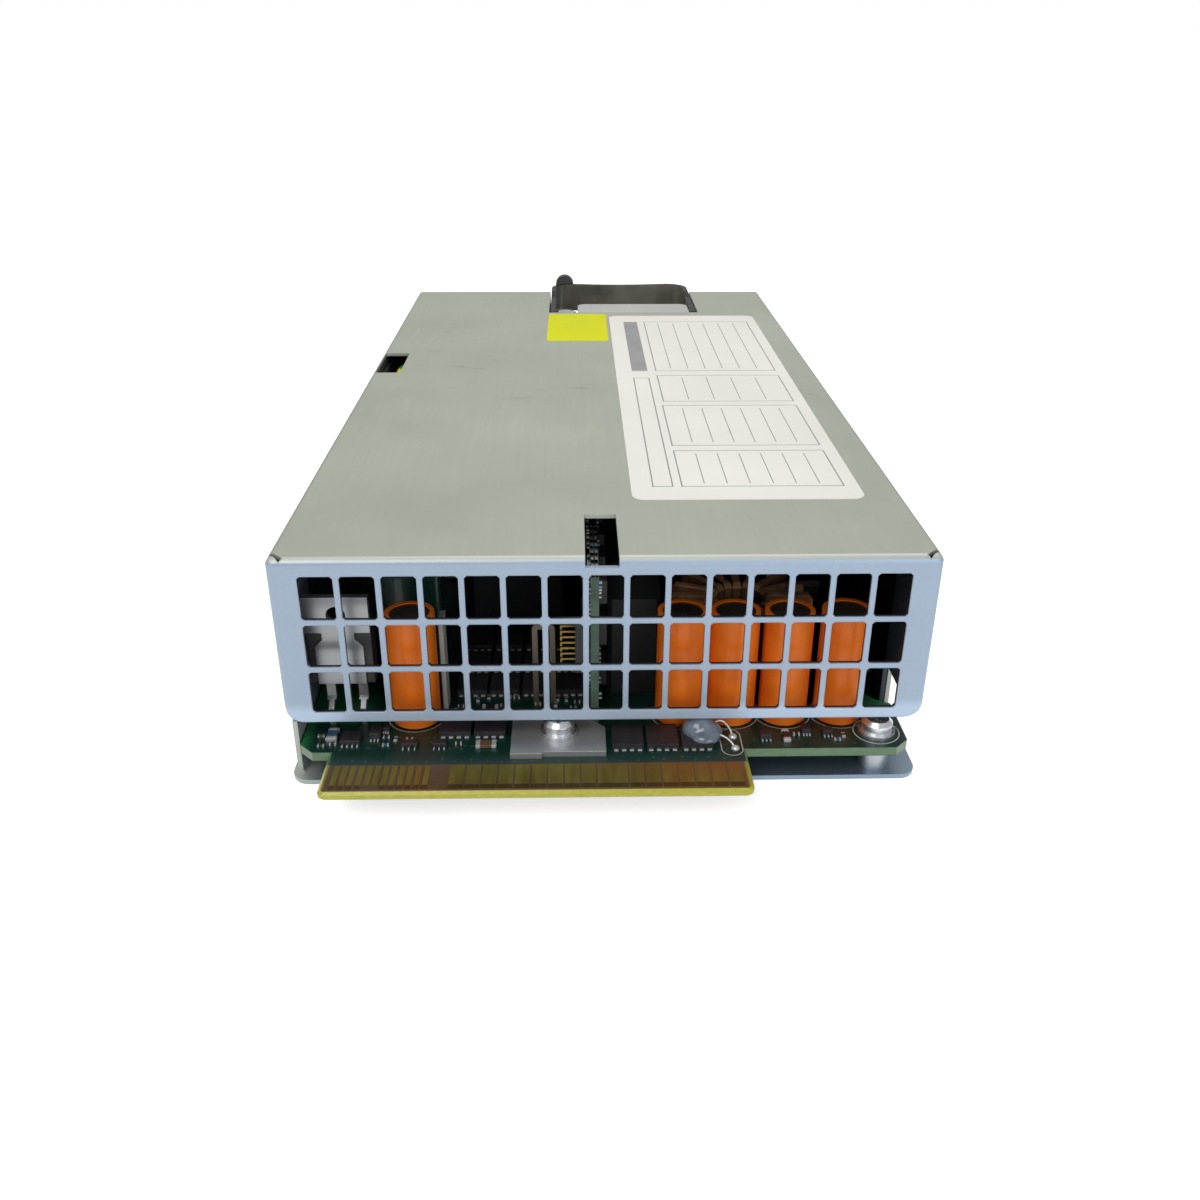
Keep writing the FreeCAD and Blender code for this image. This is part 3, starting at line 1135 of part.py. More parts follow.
# ---- Fan
def fan_frame():
    half = FAN_SIZE / 2
    flanges = [chamfered_box(FAN_X - half, y, FAN_Z - half, FAN_X + half, y + FAN_CORNER, FAN_Z + half, FAN_CORNER / 2,
                             AXIS_Y) for y in (FAN_FRONT, FAN_REAR - FAN_CORNER)]
    barrel = rod(half - FAN_RIM / 6, FAN_DEPTH, FAN_X, FAN_FRONT, FAN_Z, AXIS_Y)
    bore = rod(FAN_BORE, FAN_DEPTH, FAN_X, FAN_FRONT, FAN_Z, AXIS_Y)
    offset = half - FAN_CORNER
    holes = [rod(FAN_HOLE, FAN_DEPTH, FAN_X + sx * offset, FAN_FRONT, FAN_Z + sz * offset, AXIS_Y)
             for sx in (-1, 1) for sz in (-1, 1)]
    shell = cut(join(flanges + [barrel]), [bore] + holes)
    plate = rod(HUB_RADIUS, MOTOR_PLATE, FAN_X, FAN_REAR - MOTOR_PLATE, FAN_Z, AXIS_Y)
    struts = []
    for k in range(STRUTS):
        strut = box(FAN_X + HUB_RADIUS / 2, FAN_REAR - MOTOR_PLATE, FAN_Z - STRUT / 2, FAN_X + FAN_BORE + SHEET / 2,
                    FAN_REAR, FAN_Z + STRUT / 2)
        strut.rotate(V(FAN_X, 0, FAN_Z), AXIS_Y, 90 + k * 360 / STRUTS)
        struts.append(strut)
    bearing = rod(SHAFT_RADIUS + SHEET, MOTOR_PLATE + HUB_SETBACK, FAN_X, FAN_REAR - MOTOR_PLATE - HUB_SETBACK, FAN_Z,
                  AXIS_Y)
    shaft_bore = rod(SHAFT_RADIUS + SHAFT_FIT, FAN_DEPTH, FAN_X, FAN_FRONT, FAN_Z, AXIS_Y)
    return join([shell, plate, bearing] + struts).cut(shaft_bore)


def fan_blade(index):
    """A twisted blade between the hub and its tip."""
    sections = []
    for radius, chord, pitch in ((HUB_RADIUS - SHEET, 13.0, 0.75), (BLADE_TIP, 15.0, 0.5)):
        half, thin = chord / 2, SHEET / 2
        corners = []
        for along, across in ((-half, -thin), (half, -thin), (half, thin), (-half, thin)):
            y = along * sin(pitch) + across * cos(pitch)
            z = along * cos(pitch) - across * sin(pitch)
            corners.append(V(radius, y, z))
        sections.append(Part.makePolygon(corners + corners[:1]))
    blade = Part.makeLoft(sections, True, True)
    blade = blade.common(rod(BLADE_TIP, FAN_DEPTH, 0, -FAN_DEPTH / 2, 0, AXIS_Y))
    blade.rotate(V(0, 0, 0), AXIS_Y, index * 360 / BLADES)
    middle = FAN_REAR - MOTOR_PLATE - HUB_SETBACK - SHEET - HUB_DEPTH / 2
    return blade.translated(V(FAN_X, middle, FAN_Z))


def fan_rotor():
    rear = FAN_REAR - MOTOR_PLATE - HUB_SETBACK - SHEET
    hub = rod(HUB_RADIUS, HUB_DEPTH, FAN_X, rear - HUB_DEPTH, FAN_Z, AXIS_Y)
    hub = hub.makeFillet(2 * SHEET, [e for e in hub.Edges if e.CenterOfMass.y < rear - HUB_DEPTH + SHEET
                                     and len(e.Vertexes) == 1])
    hub = hub.cut(rod(SHAFT_RADIUS, HUB_DEPTH, FAN_X, rear - HUB_DEPTH / 2, FAN_Z, AXIS_Y))
    return join([hub] + [fan_blade(k) for k in range(BLADES)])


def fan_shaft():
    start = FAN_REAR - MOTOR_PLATE - HUB_SETBACK - SHEET - HUB_DEPTH / 2
    return rod(SHAFT_RADIUS, FAN_REAR - SHEET - start, FAN_X, start, FAN_Z, AXIS_Y)


# ---- Inlet and lights
def socket_outline(width, height, chamfer, y):
    """A rectangle with its two upper corners cut off."""
    left, right = INLET_X - width / 2, INLET_X + width / 2
    low, high = INLET_Z - height / 2, INLET_Z + height / 2
    outline = [(left, low), (right, low), (right, high - chamfer), (right - chamfer, high), (left + chamfer, high),
               (left, high - chamfer)]
    return [(x, y, z) for x, z in outline]


def inlet_pin_spots():
    line_z = INLET_Z - EARTH_OFFSET / 2
    return ((INLET_X - LIVE_SPACING / 2, line_z), (INLET_X, line_z + EARTH_OFFSET), (INLET_X + LIVE_SPACING / 2, line_z))


def inlet_housing():
    left, face = INLET_X - INLET_WIDTH / 2, INLET_FACE
    rim = rounded_box(left, LENGTH, INLET_FOOT, left + INLET_WIDTH, face, INLET_FOOT + INLET_HEIGHT,
                      INLET_FLANGE / 2, AXIS_Y)
    body_width, body_height = INLET_BODY[0] - 2 * SHEET_GAP, INLET_BODY[1] - 2 * SHEET_GAP
    body = box(INLET_X - body_width / 2, face - INLET_DEPTH, INLET_Z - body_height / 2, INLET_X + body_width / 2,
               LENGTH, INLET_Z + body_height / 2)
    outline = socket_outline(SOCKET[0], SOCKET[1], SOCKET_CHAMFER, face - SOCKET_DEPTH)
    cavity = prism(outline, V(0, SOCKET_DEPTH, 0))
    passages = [box(x - BLADE_PIN[0] / 2, LENGTH / 2, z - BLADE_PIN[1] / 2, x + BLADE_PIN[0] / 2, LENGTH,
                    z + BLADE_PIN[1] / 2) for x, z in inlet_pin_spots()]
    return cut(join([rim, body]), [cavity] + passages)


def inlet_pins():
    face = INLET_FACE
    rear = face - INLET_DEPTH - FLANGE
    pins = []
    for x, z in inlet_pin_spots():
        pin = box(x - BLADE_PIN[0] / 2, rear, z - BLADE_PIN[1] / 2, x + BLADE_PIN[0] / 2, face - PIN_SHORT_OF_RIM,
                  z + BLADE_PIN[1] / 2)
        tip = [e for e in pin.Edges if e.CenterOfMass.y > LENGTH - PIN_SHORT_OF_RIM]
        pins.append(pin.makeChamfer(SHEET / 2, tip))
    return pins


def status_lights():
    front = LENGTH - SHEET
    lights = []
    for z in LIGHT_SPOTS_Z:
        lens = rod(LIGHT_RADIUS - SHEET_GAP, SHEET + LIGHT_PROUD, LIGHT_X, front, z, AXIS_Y)
        lights.append(lens.makeChamfer(LIGHT_PROUD / 3, [e for e in lens.Edges if e.CenterOfMass.y > LENGTH]))
    return lights


# ---- Earth wire
def earth_eyelet():
    """The crimped eyelet and the screw that holds it to the tray's wall."""
    x = -TRAY_INSIDE
    ring = rod(EYELET_RADIUS, SHEET, x, EYELET_Y, EYELET_Z, AXIS_X)
    head = rod(SMALL_HEAD_RADIUS, SMALL_HEAD_HEIGHT, x + SHEET, EYELET_Y, EYELET_Z, AXIS_X)
    crimp = box(x, EYELET_Y + EYELET_RADIUS - SHEET, EYELET_Z - WIRE_RADIUS, x + SHEET,
                EYELET_Y + 2 * EYELET_RADIUS, EYELET_Z + WIRE_RADIUS)
    return [join([ring, crimp]), head]


def earth_wire():
    """The insulated wire from the eyelet, round the front of the fan, to the inlet's middle pin."""
    x = -TRAY_INSIDE + SHEET + WIRE_RADIUS
    aisle = (BOARD_REAR + FAN_FRONT) / 2
    crest = INSIDE_TOP - WIRE_CREST_DROP - WIRE_RADIUS
    pin_x, pin_z = inlet_pin_spots()[1]
    pin_end = INLET_FACE - INLET_DEPTH - FLANGE
    points = [
        (x, EYELET_Y + EYELET_RADIUS, EYELET_Z), (x, EDGE_NOTCH_START + EDGE_NOTCH_LENGTH / 4, crest - 4 * WIRE_RADIUS),
        (x + WIRE_RADIUS, EDGE_NOTCH_START + EDGE_NOTCH_LENGTH, crest),
        (x, aisle - 3 * FAN_CORNER, EYELET_Z + WIRE_RADIUS), (x + 4 * FAN_CORNER, aisle, FAN_Z),
        (pin_x - 4 * FAN_CORNER, aisle, pin_z + WIRE_RADIUS), (pin_x, aisle + FAN_CORNER, pin_z),
        (pin_x, pin_end, pin_z),
    ]
    return tube(points, WIRE_RADIUS)


def main():
    os.makedirs("parts", exist_ok=True)
    save("front_grille", [front_grille()])
    save("top_cover", [top_cover()])
    save("base_tray", [base_tray()])
    save("rear_panel", [rear_panel()])
    save("cover_screws", cover_screws())
    save("handle_well", [handle_well()])
    save("handle", [handle()])
    save("handle_bosses", handle_bosses())
    save("handle_screws", handle_screws())
    save("latch_slide", [latch_slide()])
    save("thumb_tab", [thumb_tab()])
    save("latch_spring", [latch_spring()])
    save("main_board", [main_board()])
    save("edge_contacts", edge_contacts())
    save("board_standoffs", board_standoffs())
    save("board_screws", board_screws())
    save("ground_plate", [ground_plate()])
    save("output_capacitor_cans", can_bodies())
    save("output_capacitor_sleeves", can_sleeves())
    save("transistor_lead_frame", transistor_lead_frame())
    save("transistor_body", [transistor_body()])
    core, coil = output_choke()
    save("output_choke_core", [core])
    save("output_choke_winding", coil)
    save("daughter_board", [daughter_board()])
    save("daughter_board_chips", daughter_chips())
    save("header_block", [header_block()])
    save("header_pins", header_pins())
    save("film_capacitor", [upright_block(from_left(FILM_CAPACITOR), SHEET)])
    save("jumper_link", [jumper_link()])
    save("power_inductors", power_inductors())
    save("barrier_strip", [upright_block(from_left(BARRIER), BARRIER_EDGE)])
    save("output_mosfets", output_mosfets())
    save("board_chips", board_chips())
    save("sealant_blob", [sealant_blob()])
    save("thermistor_leads", thermistor_leads())
    can, sleeve = bulk_capacitor()
    save("bulk_capacitor_can", [can])
    save("bulk_capacitor_sleeve", [sleeve])
    core, coil = transformer()
    save("transformer_core", [core])
    save("transformer_winding", [coil])
    save("bobbin_pins", bobbin_pins())
    save("heatsink", [heatsink()])
    core, coil = line_choke()
    save("line_choke_core", [core])
    save("line_choke_winding", coil)
    save("line_capacitor", [upright_block((LINE_CAPACITOR_X, LINE_CAPACITOR_Y) + LINE_CAPACITOR, SHEET)])
    save("relay", [upright_block((RELAY_X, RELAY_Y) + RELAY, SHEET)])
    body, caps = fuse()
    save("fuse_body", [body])
    save("fuse_caps", caps)
    save("insulator_sheet", [insulator_sheet()])
    save("fan_frame", [fan_frame()])
    save("fan_rotor", [fan_rotor()])
    save("fan_shaft", [fan_shaft()])
    save("inlet_housing", [inlet_housing()])
    save("inlet_pins", inlet_pins())
    save("status_lights", status_lights())
    save("earth_eyelet", earth_eyelet())
    save("earth_wire", [earth_wire()])


main()
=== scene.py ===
"""Looks of the power supply: materials, stickers, the boards' small parts and the stage."""
import json
import math
import random

import bmesh
import bpy
from mathutils import Matrix, Vector

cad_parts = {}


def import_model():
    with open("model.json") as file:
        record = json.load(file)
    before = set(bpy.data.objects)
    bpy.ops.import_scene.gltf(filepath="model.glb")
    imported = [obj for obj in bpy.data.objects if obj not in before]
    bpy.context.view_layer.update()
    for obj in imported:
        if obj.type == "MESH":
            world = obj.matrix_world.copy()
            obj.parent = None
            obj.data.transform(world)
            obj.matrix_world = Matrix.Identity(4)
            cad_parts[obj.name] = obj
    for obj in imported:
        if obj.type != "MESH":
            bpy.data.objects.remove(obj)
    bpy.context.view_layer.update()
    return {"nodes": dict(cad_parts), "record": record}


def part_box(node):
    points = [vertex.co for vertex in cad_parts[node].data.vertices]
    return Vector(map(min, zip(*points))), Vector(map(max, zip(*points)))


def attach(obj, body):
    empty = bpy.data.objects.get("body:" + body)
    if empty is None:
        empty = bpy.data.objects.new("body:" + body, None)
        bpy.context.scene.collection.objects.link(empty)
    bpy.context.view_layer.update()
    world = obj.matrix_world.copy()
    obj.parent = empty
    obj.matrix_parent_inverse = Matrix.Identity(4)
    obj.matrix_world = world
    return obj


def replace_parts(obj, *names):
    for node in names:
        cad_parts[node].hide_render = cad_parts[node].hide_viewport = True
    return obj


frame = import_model()
MM = 0.001
CASING = "casing"
WELD = 0.001 * MM
SEED = 7
rng = random.Random(SEED)


# ---- Places taken from the CAD
def low(node):
    return Vector(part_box(node)[0])


def high(node):
    return Vector(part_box(node)[1])


def joined_to(start, seen):
    """The places of all the vertices that hang together with a first one."""
    seen.add(start)
    found, queue = [], [start]
    while queue:
        spot = queue.pop()
        found.append(spot.co)
        for edge in spot.link_edges:
            other = edge.other_vert(spot)
            if other not in seen:
                seen.add(other)
                queue.append(other)
    return found


def islands(node):
    """(lowest corner, highest corner) of each loose part of a CAD node."""
    mesh = bmesh.new()
    mesh.from_mesh(frame["nodes"][node].data)
    mesh.transform(frame["nodes"][node].matrix_world)
    bmesh.ops.remove_doubles(mesh, verts=mesh.verts, dist=WELD)
    seen, boxes = set(), []
    for start in mesh.verts:
        if start not in seen:
            found = joined_to(start, seen)
            corners = [(min(c[k] for c in found), max(c[k] for c in found)) for k in range(3)]
            boxes.append((Vector([c[0] for c in corners]), Vector([c[1] for c in corners])))
    mesh.free()
    return boxes


def tongue_sides():
    """The card edge's left and right, from the board's corners in front of the contacts."""
    board = frame["nodes"]["main_board"]
    corners = [board.matrix_world @ v.co for v in board.data.vertices]
    across = [c.x for c in corners if c.y < CONTACTS_FRONT]
    return min(across), max(across)


TOP = high("top_cover").z
HALF = high("top_cover").x
SHEET = 0.8 * MM
SILL = low("front_grille").z
BOARD_TOP = high("main_board").z
BOARD_LOW = low("main_board").z
BOARD_LEFT = low("main_board").x
CONTACTS_FRONT = low("edge_contacts").y
TONGUE_LEFT, TONGUE_RIGHT = tongue_sides()
PACKAGE_TOP = high("output_mosfets").z
UPRIGHT_LOW, UPRIGHT_HIGH = low("daughter_board"), high("daughter_board")


# ---- Materials
SOFT, FIRM = (0.3, 0.7), (0.35, 0.65)
NOISE_ROUGHNESS = 0.55
BEVEL_SAMPLES = 4
MIX_A, MIX_B, MIX_RESULT = 6, 7, 2


class Shader:
    """A small builder of node materials."""

    def __init__(self, name, color, metallic=0.0, roughness=0.5):
        self.material = bpy.data.materials.new(name)
        self.material.use_nodes = True
        self.tree = self.material.node_tree
        self.bsdf = self.tree.nodes["Principled BSDF"]
        self.set("Base Color", (*color, 1))
        self.set("Metallic", metallic)
        self.set("Roughness", roughness)
        self.coords = self.node("ShaderNodeTexCoord").outputs["Object"]

    def set(self, socket, value):
        self.bsdf.inputs[socket].default_value = value

    def node(self, kind, **values):
        made = self.tree.nodes.new(kind)
        for key, value in values.items():
            setattr(made, key, value)
        return made

    def link(self, a, b):
        self.tree.links.new(a, b)

    def stretched(self, stretch):
        """The object's coordinates, times a factor along each axis."""
        mapping = self.node("ShaderNodeMapping")
        mapping.inputs["Scale"].default_value = stretch
        self.link(self.coords, mapping.inputs["Vector"])
        return mapping.outputs[0]

    def noise(self, scale, detail=3.0, stretch=(1, 1, 1)):
        """A noise whose scale is in features per metre."""
        place = self.stretched(stretch)
        made = self.node("ShaderNodeTexNoise")
        made.inputs["Scale"].default_value = scale
        made.inputs["Detail"].default_value = detail
        made.inputs["Roughness"].default_value = NOISE_ROUGHNESS
        self.link(place, made.inputs["Vector"])
        return made.outputs["Fac"]

    def ramp(self, value, low_at, high_at, low_to=0.0, high_to=1.0):
        made = self.node("ShaderNodeMapRange")
        made.inputs["From Min"].default_value = low_at
        made.inputs["From Max"].default_value = high_at
        made.inputs["To Min"].default_value = low_to
        made.inputs["To Max"].default_value = high_to
        self.link(value, made.inputs["Value"])
        return made.outputs[0]

    def math(self, operation, a, b):
        made = self.node("ShaderNodeMath", operation=operation)
        for socket, value in zip(made.inputs, (a, b)):
            if isinstance(value, (int, float)):
                socket.default_value = value
            else:
                self.link(value, socket)
        return made.outputs[0]

    def above(self, value, limit):
        return self.math("GREATER_THAN", value, limit)

    def below(self, value, limit):
        return self.math("LESS_THAN", value, limit)

    def either(self, a, b):
        return self.math("MAXIMUM", a, b)

    def product(self, first, *others):
        for other in others:
            first = self.math("MULTIPLY", first, other)
        return first

    def axis(self, name):
        split = self.node("ShaderNodeSeparateXYZ")
        self.link(self.coords, split.inputs[0])
        return split.outputs[name]

    def off_middle(self):
        """The distance from the plane between the left and the right half."""
        return self.math("ABSOLUTE", self.axis("X"), 0)

    def facing(self, way):
        """How far a surface faces a fixed way, from -1 to 1."""
        made = self.node("ShaderNodeVectorMath", operation="DOT_PRODUCT")
        self.link(self.node("ShaderNodeNewGeometry").outputs["Normal"], made.inputs[0])
        made.inputs[1].default_value = Vector(way).normalized()
        return made.outputs["Value"]

    def mix(self, factor, a, b):
        made = self.node("ShaderNodeMix", data_type="RGBA")
        self.link(factor, made.inputs["Factor"])
        for index, value in ((MIX_A, a), (MIX_B, b)):
            if isinstance(value, tuple):
                made.inputs[index].default_value = (*value, 1)
            else:
                self.link(value, made.inputs[index])
        return made.outputs[MIX_RESULT]

    def blend(self, value, stops, a, b):
        """One colour that turns into another while a value passes from stop to stop."""
        return self.mix(self.ramp(value, *stops), a, b)

    def color(self, value):
        self.link(value, self.bsdf.inputs["Base Color"])

    def roughness(self, value):
        self.link(value, self.bsdf.inputs["Roughness"])

    def bump(self, height, strength=0.2, distance=0.1 * MM, soften=None):
        made = self.node("ShaderNodeBump")
        made.inputs["Strength"].default_value = strength
        made.inputs["Distance"].default_value = distance
        self.link(height, made.inputs["Height"])
        if soften:
            bevel = self.node("ShaderNodeBevel", samples=BEVEL_SAMPLES)
            bevel.inputs["Radius"].default_value = soften
            self.link(bevel.outputs[0], made.inputs["Normal"])
        self.link(made.outputs[0], self.bsdf.inputs["Normal"])


def shade(color, by):
    return tuple(min(1.0, c * by) for c in color)


COARSER, FINER = 6, 4
SHEEN_SPREAD, SHEEN_LEAST = 0.08, 0.05


def plain(name, color, metallic=0.0, roughness=0.5, vary=0.12, scale=400, bump=0.1, soften=None, clear=0.0):
    """Moulded, cast, plated or painted stuff: a little uneven in colour, sheen and height."""
    made = Shader(name, color, metallic, roughness)
    patches = made.noise(scale / COARSER, 4)
    sheens = max(roughness - SHEEN_SPREAD, SHEEN_LEAST), min(roughness + SHEEN_SPREAD, 1)
    made.color(made.blend(patches, SOFT, shade(color, 1 - vary), shade(color, 1 + vary)))
    made.roughness(made.ramp(patches, *SOFT, *sheens))
    made.bump(made.noise(scale * FINER, 2), bump, 0.05 * MM, soften)
    made.set("Coat Weight", clear)
    return made.material


MARGIN = 0.1 * MM
# Painted shade: the sheet is painted dark on its faces inside the casing, behind these starts.
COVER_INSIDE, TRAY_INSIDE, INSIDE_SHADE = 0.9 * MM, 17.5 * MM, 0.14
# Painted dark reflection along the casing's long upper bends.
BEND_ACROSS, BEND_UP = (HALF - 0.9 * MM, HALF - 0.4 * MM), (TOP - 1.0 * MM, TOP - 0.6 * MM)
BEND_ALONG, BEND_STRENGTH, BEND_SHADE = (2.5 * MM, 4.0 * MM), 0.75, 0.3
# Painted light on the tray's left wall near the open front: a paler colour and less metallic.
LEFT_WALL, OPEN_FRONT = (-HALF + 7 * MM, -HALF + 1.2 * MM), (16 * MM, 9 * MM)
LIT_WALL, LIT_WALL_METALLIC = (0.42, 0.44, 0.39), 0.1
CELLS_BEHIND, CELLS_WITHIN = 0.3 * MM, HALF - 2 * MM
# Painted shade: the cells' walls are painted nearly black.
CELLS_BELOW, CELLS_ABOVE, CELL_WALL_SHADE = TOP - 1.6 * MM, SILL + 0.6 * MM, (0.035, 0.033, 0.045)
# Painted light: the panel is painted lighter along its sill.
SILL_LIT, SILL_SHADE = (SILL + 3.4 * MM, SILL + 1.8 * MM), 1.3
# Painted highlight on the crest where the cover folds down into the panel.
CREST, CREST_HIGHLIGHT = (TOP - 0.8 * MM, TOP - 0.25 * MM), (0.5, 0.52, 0.47)


def inside_casing(made, start):
    """1 on the faces that look into the casing, behind a start along it, where painted shade goes."""
    return made.product(made.below(made.off_middle(), HALF - SHEET + MARGIN),
                        made.below(made.axis("Z"), TOP - SHEET + MARGIN),
                        made.above(made.axis("Z"), SHEET - MARGIN),
                        made.above(made.axis("Y"), start))


def long_bends(made):
    """How much painted dark reflection lies on the casing's long upper bends."""
    return made.product(made.ramp(made.off_middle(), *BEND_ACROSS, 0.0, BEND_STRENGTH),
                        made.ramp(made.axis("Z"), *BEND_UP), made.ramp(made.axis("Y"), *BEND_ALONG))


def cell_walls(made):
    """1 on the walls of the grille's cells, behind their front edge, which are painted dark as painted shade.
    """
    return made.product(made.above(made.axis("Y"), CELLS_BEHIND), made.below(made.off_middle(), CELLS_WITHIN),
                        made.below(made.axis("Z"), CELLS_BELOW), made.above(made.axis("Z"), CELLS_ABOVE))


def cover_tones(made, tone, color, inside=COVER_INSIDE):
    """Painted shade inside the casing, and a painted dark reflection along the long upper bends."""
    tone = made.mix(inside_casing(made, inside), tone, shade(color, INSIDE_SHADE))
    return made.mix(long_bends(made), tone, shade(color, BEND_SHADE))


def tray_tones(made, tone, color):
    """As the cover, but with the painted shade starting further in, and with painted light on the left wall
    near the open front, which is pale and dull there.
    """
    tone = cover_tones(made, tone, color, TRAY_INSIDE)
    forward = made.product(made.ramp(made.axis("X"), *LEFT_WALL), made.ramp(made.axis("Y"), *OPEN_FRONT))
    metallic = made.bsdf.inputs["Metallic"]
    made.link(made.ramp(forward, 0, 1, metallic.default_value, LIT_WALL_METALLIC), metallic)
    return made.mix(forward, tone, LIT_WALL)


def panel_tones(made, tone, color):
    """Painted light along the sill, painted shade on the cells' walls, and a painted highlight on the crest
    of the fold.
    """
    tone = made.blend(made.axis("Z"), SILL_LIT, tone, shade(color, SILL_SHADE))
    tone = made.mix(cell_walls(made), tone, CELL_WALL_SHADE)
    return made.blend(made.axis("Z"), CREST, tone, CREST_HIGHLIGHT)


def sheet_metal(name, color, roughness=0.42, metallic=0.75, soften=0.2 * MM, tones=None):
    """Zinc plated sheet: faint rolling lines, soft blotches, scuffs and sparse scratches."""
    made = Shader(name, color, metallic, roughness)
    rolled = made.noise(1400, 3, (1, 0.03, 1))
    blotch = made.noise(28, 4)
    scuff = made.ramp(made.noise(150, 6, (1.6, 0.35, 1)), 0.64, 0.74)
    scratch = made.product(made.ramp(made.noise(240, 5, (0.7, 1.5, 1)), 0.62, 0.72),
                           made.ramp(made.noise(18, 2), 0.56, 0.66))
    tone = made.blend(blotch, SOFT, shade(color, 0.93), shade(color, 1.06))
    lines = made.ramp(rolled, *SOFT)
    for wear, strength, by in ((lines, 0.25, 0.85), (scuff, 0.3, 1.28), (scratch, 0.45, 0.5)):
        tone = made.mix(made.product(wear, strength), tone, shade(color, by))
    made.color(tones(made, tone, color) if tones else tone)
    made.roughness(made.math("ADD", made.ramp(blotch, *SOFT, roughness - 0.05, roughness + 0.05),
                             made.product(scuff, 0.1)))
    made.bump(rolled, 0.06, 0.03 * MM, soften)
    return made.material


POUR_SCALE, POUR_GAP = (330, 330, 330), 0.05
POUR_TONES = {"Color1": (0.004, 0.028, 0.02), "Color2": (0.006, 0.036, 0.025), "Mortar": (0.003, 0.02, 0.015)}
# Painted shade: the mask is painted darker further in from the front.
MASK_TONE, MASK_LIT, MASK_SHADE = (0.005, 0.032, 0.022), (0.03, 0.19, 0.07), (0.003, 0.014, 0.01)
# Painted light: the mask is painted bright green at both sides behind the grille, along the left rim and by
# the tongue's left.
MASK_SIDES, MASK_FRONT, MASK_INWARD = (36 * MM, 42 * MM), (5 * MM, 8 * MM), (9 * MM, 22 * MM)
MASK_END, MASK_RIM_LIGHT = -6.3 * MM, (0.012, 0.12, 0.04)
RIM_ACROSS = (BOARD_LEFT + 1.9 * MM, BOARD_LEFT + 0.4 * MM)
NECK_ACROSS, NECK_ALONG = (TONGUE_LEFT + 1.0 * MM, TONGUE_LEFT + 0.2 * MM), (-2.6 * MM, -3.4 * MM)
BARE_LEFT, BARE_RIGHT, BARE_ACROSS = (0.075, 0.04, 0.014), (0.14, 0.055, 0.012), (-10 * MM, 20 * MM)
BARE_SPOT, BARE_RIM, BARE_PAINTED_GLOW = (0.1, 0.06, 0.02), (0.105, 0.062, 0.018), (0.42, 0.37, 0.02)
# Painted light: a pale yellow glow painted on the bare laminate along both sides of the tongue.
GLOW_LEFT = (TONGUE_LEFT + 0.9 * MM, TONGUE_LEFT + 0.3 * MM)
GLOW_RIGHT = (TONGUE_RIGHT - 0.9 * MM, TONGUE_RIGHT - 0.3 * MM)
CUT_BOARD, CUT_TONGUE = ((0.075, 0.14, 0.07), (0.11, 0.19, 0.095)), ((0.34, 0.315, 0.02), (0.44, 0.41, 0.035))
BOARD_SKIN = 0.08 * MM


def copper_pours(made):
    """Rectangles of copper with gaps between them, faintly seen through the mask."""
    pours = made.node("ShaderNodeTexBrick")
    made.link(made.stretched(POUR_SCALE), pours.inputs["Vector"])
    pours.inputs["Scale"].default_value = 1.0
    pours.inputs["Mortar Size"].default_value = POUR_GAP
    for socket, color in POUR_TONES.items():
        pours.inputs[socket].default_value = (*color, 1)
    return pours


def mask_tone(made, pours):
    """Solder mask: painted light at both sides behind the grille, along the left rim and by the tongue's
    left, and painted shade further in.
    """
    x, y = made.axis("X"), made.axis("Y")
    tone = made.blend(made.noise(220, 3), FIRM, pours.outputs["Color"], MASK_TONE)
    lit = made.product(made.ramp(made.off_middle(), *MASK_SIDES), made.ramp(y, *MASK_FRONT))
    tone = made.mix(lit, tone, MASK_LIT)
    tone = made.blend(y, MASK_INWARD, tone, MASK_SHADE)
    neck = made.product(made.ramp(x, *NECK_ACROSS), made.ramp(y, *NECK_ALONG))
    return made.mix(made.either(made.ramp(x, *RIM_ACROSS), neck), tone, MASK_RIM_LIGHT)


def bare_tone(made):
    """Bare laminate round the contacts: brown, warmer to the right, and painted light, a pale yellow glow,
    along both sides.
    """
    x = made.axis("X")
    tone = made.blend(x, BARE_ACROSS, BARE_LEFT, BARE_RIGHT)
    tone = made.mix(made.ramp(made.noise(700, 3), *SOFT, 0, 0.5), tone, BARE_SPOT)
    tone = made.mix(made.below(made.axis("Y"), CONTACTS_FRONT - 0.05 * MM), tone, BARE_RIM)
    return made.mix(made.either(made.ramp(x, *GLOW_LEFT), made.ramp(x, *GLOW_RIGHT)), tone, BARE_PAINTED_GLOW)


def board_material(name):
    """Solder mask over laminate, which is bare on the card edge and along every cut edge."""
    made = Shader(name, (0.02, 0.09, 0.06), 0.0, 0.3)
    pours = copper_pours(made)
    z = made.axis("Z")
    face = made.either(made.above(z, BOARD_TOP - BOARD_SKIN), made.below(z, BOARD_LOW + BOARD_SKIN))
    tongue = made.below(made.axis("Y"), MASK_END)
    cuts = [made.blend(made.noise(900, 3, (1, 1, 4)), SOFT, *tones) for tones in (CUT_BOARD, CUT_TONGUE)]
    made.color(made.mix(face, made.mix(tongue, *cuts),
                        made.mix(tongue, mask_tone(made, pours), bare_tone(made))))
    made.bump(pours.outputs["Fac"], 0.15, 0.03 * MM, 0.08 * MM)
    return made.material


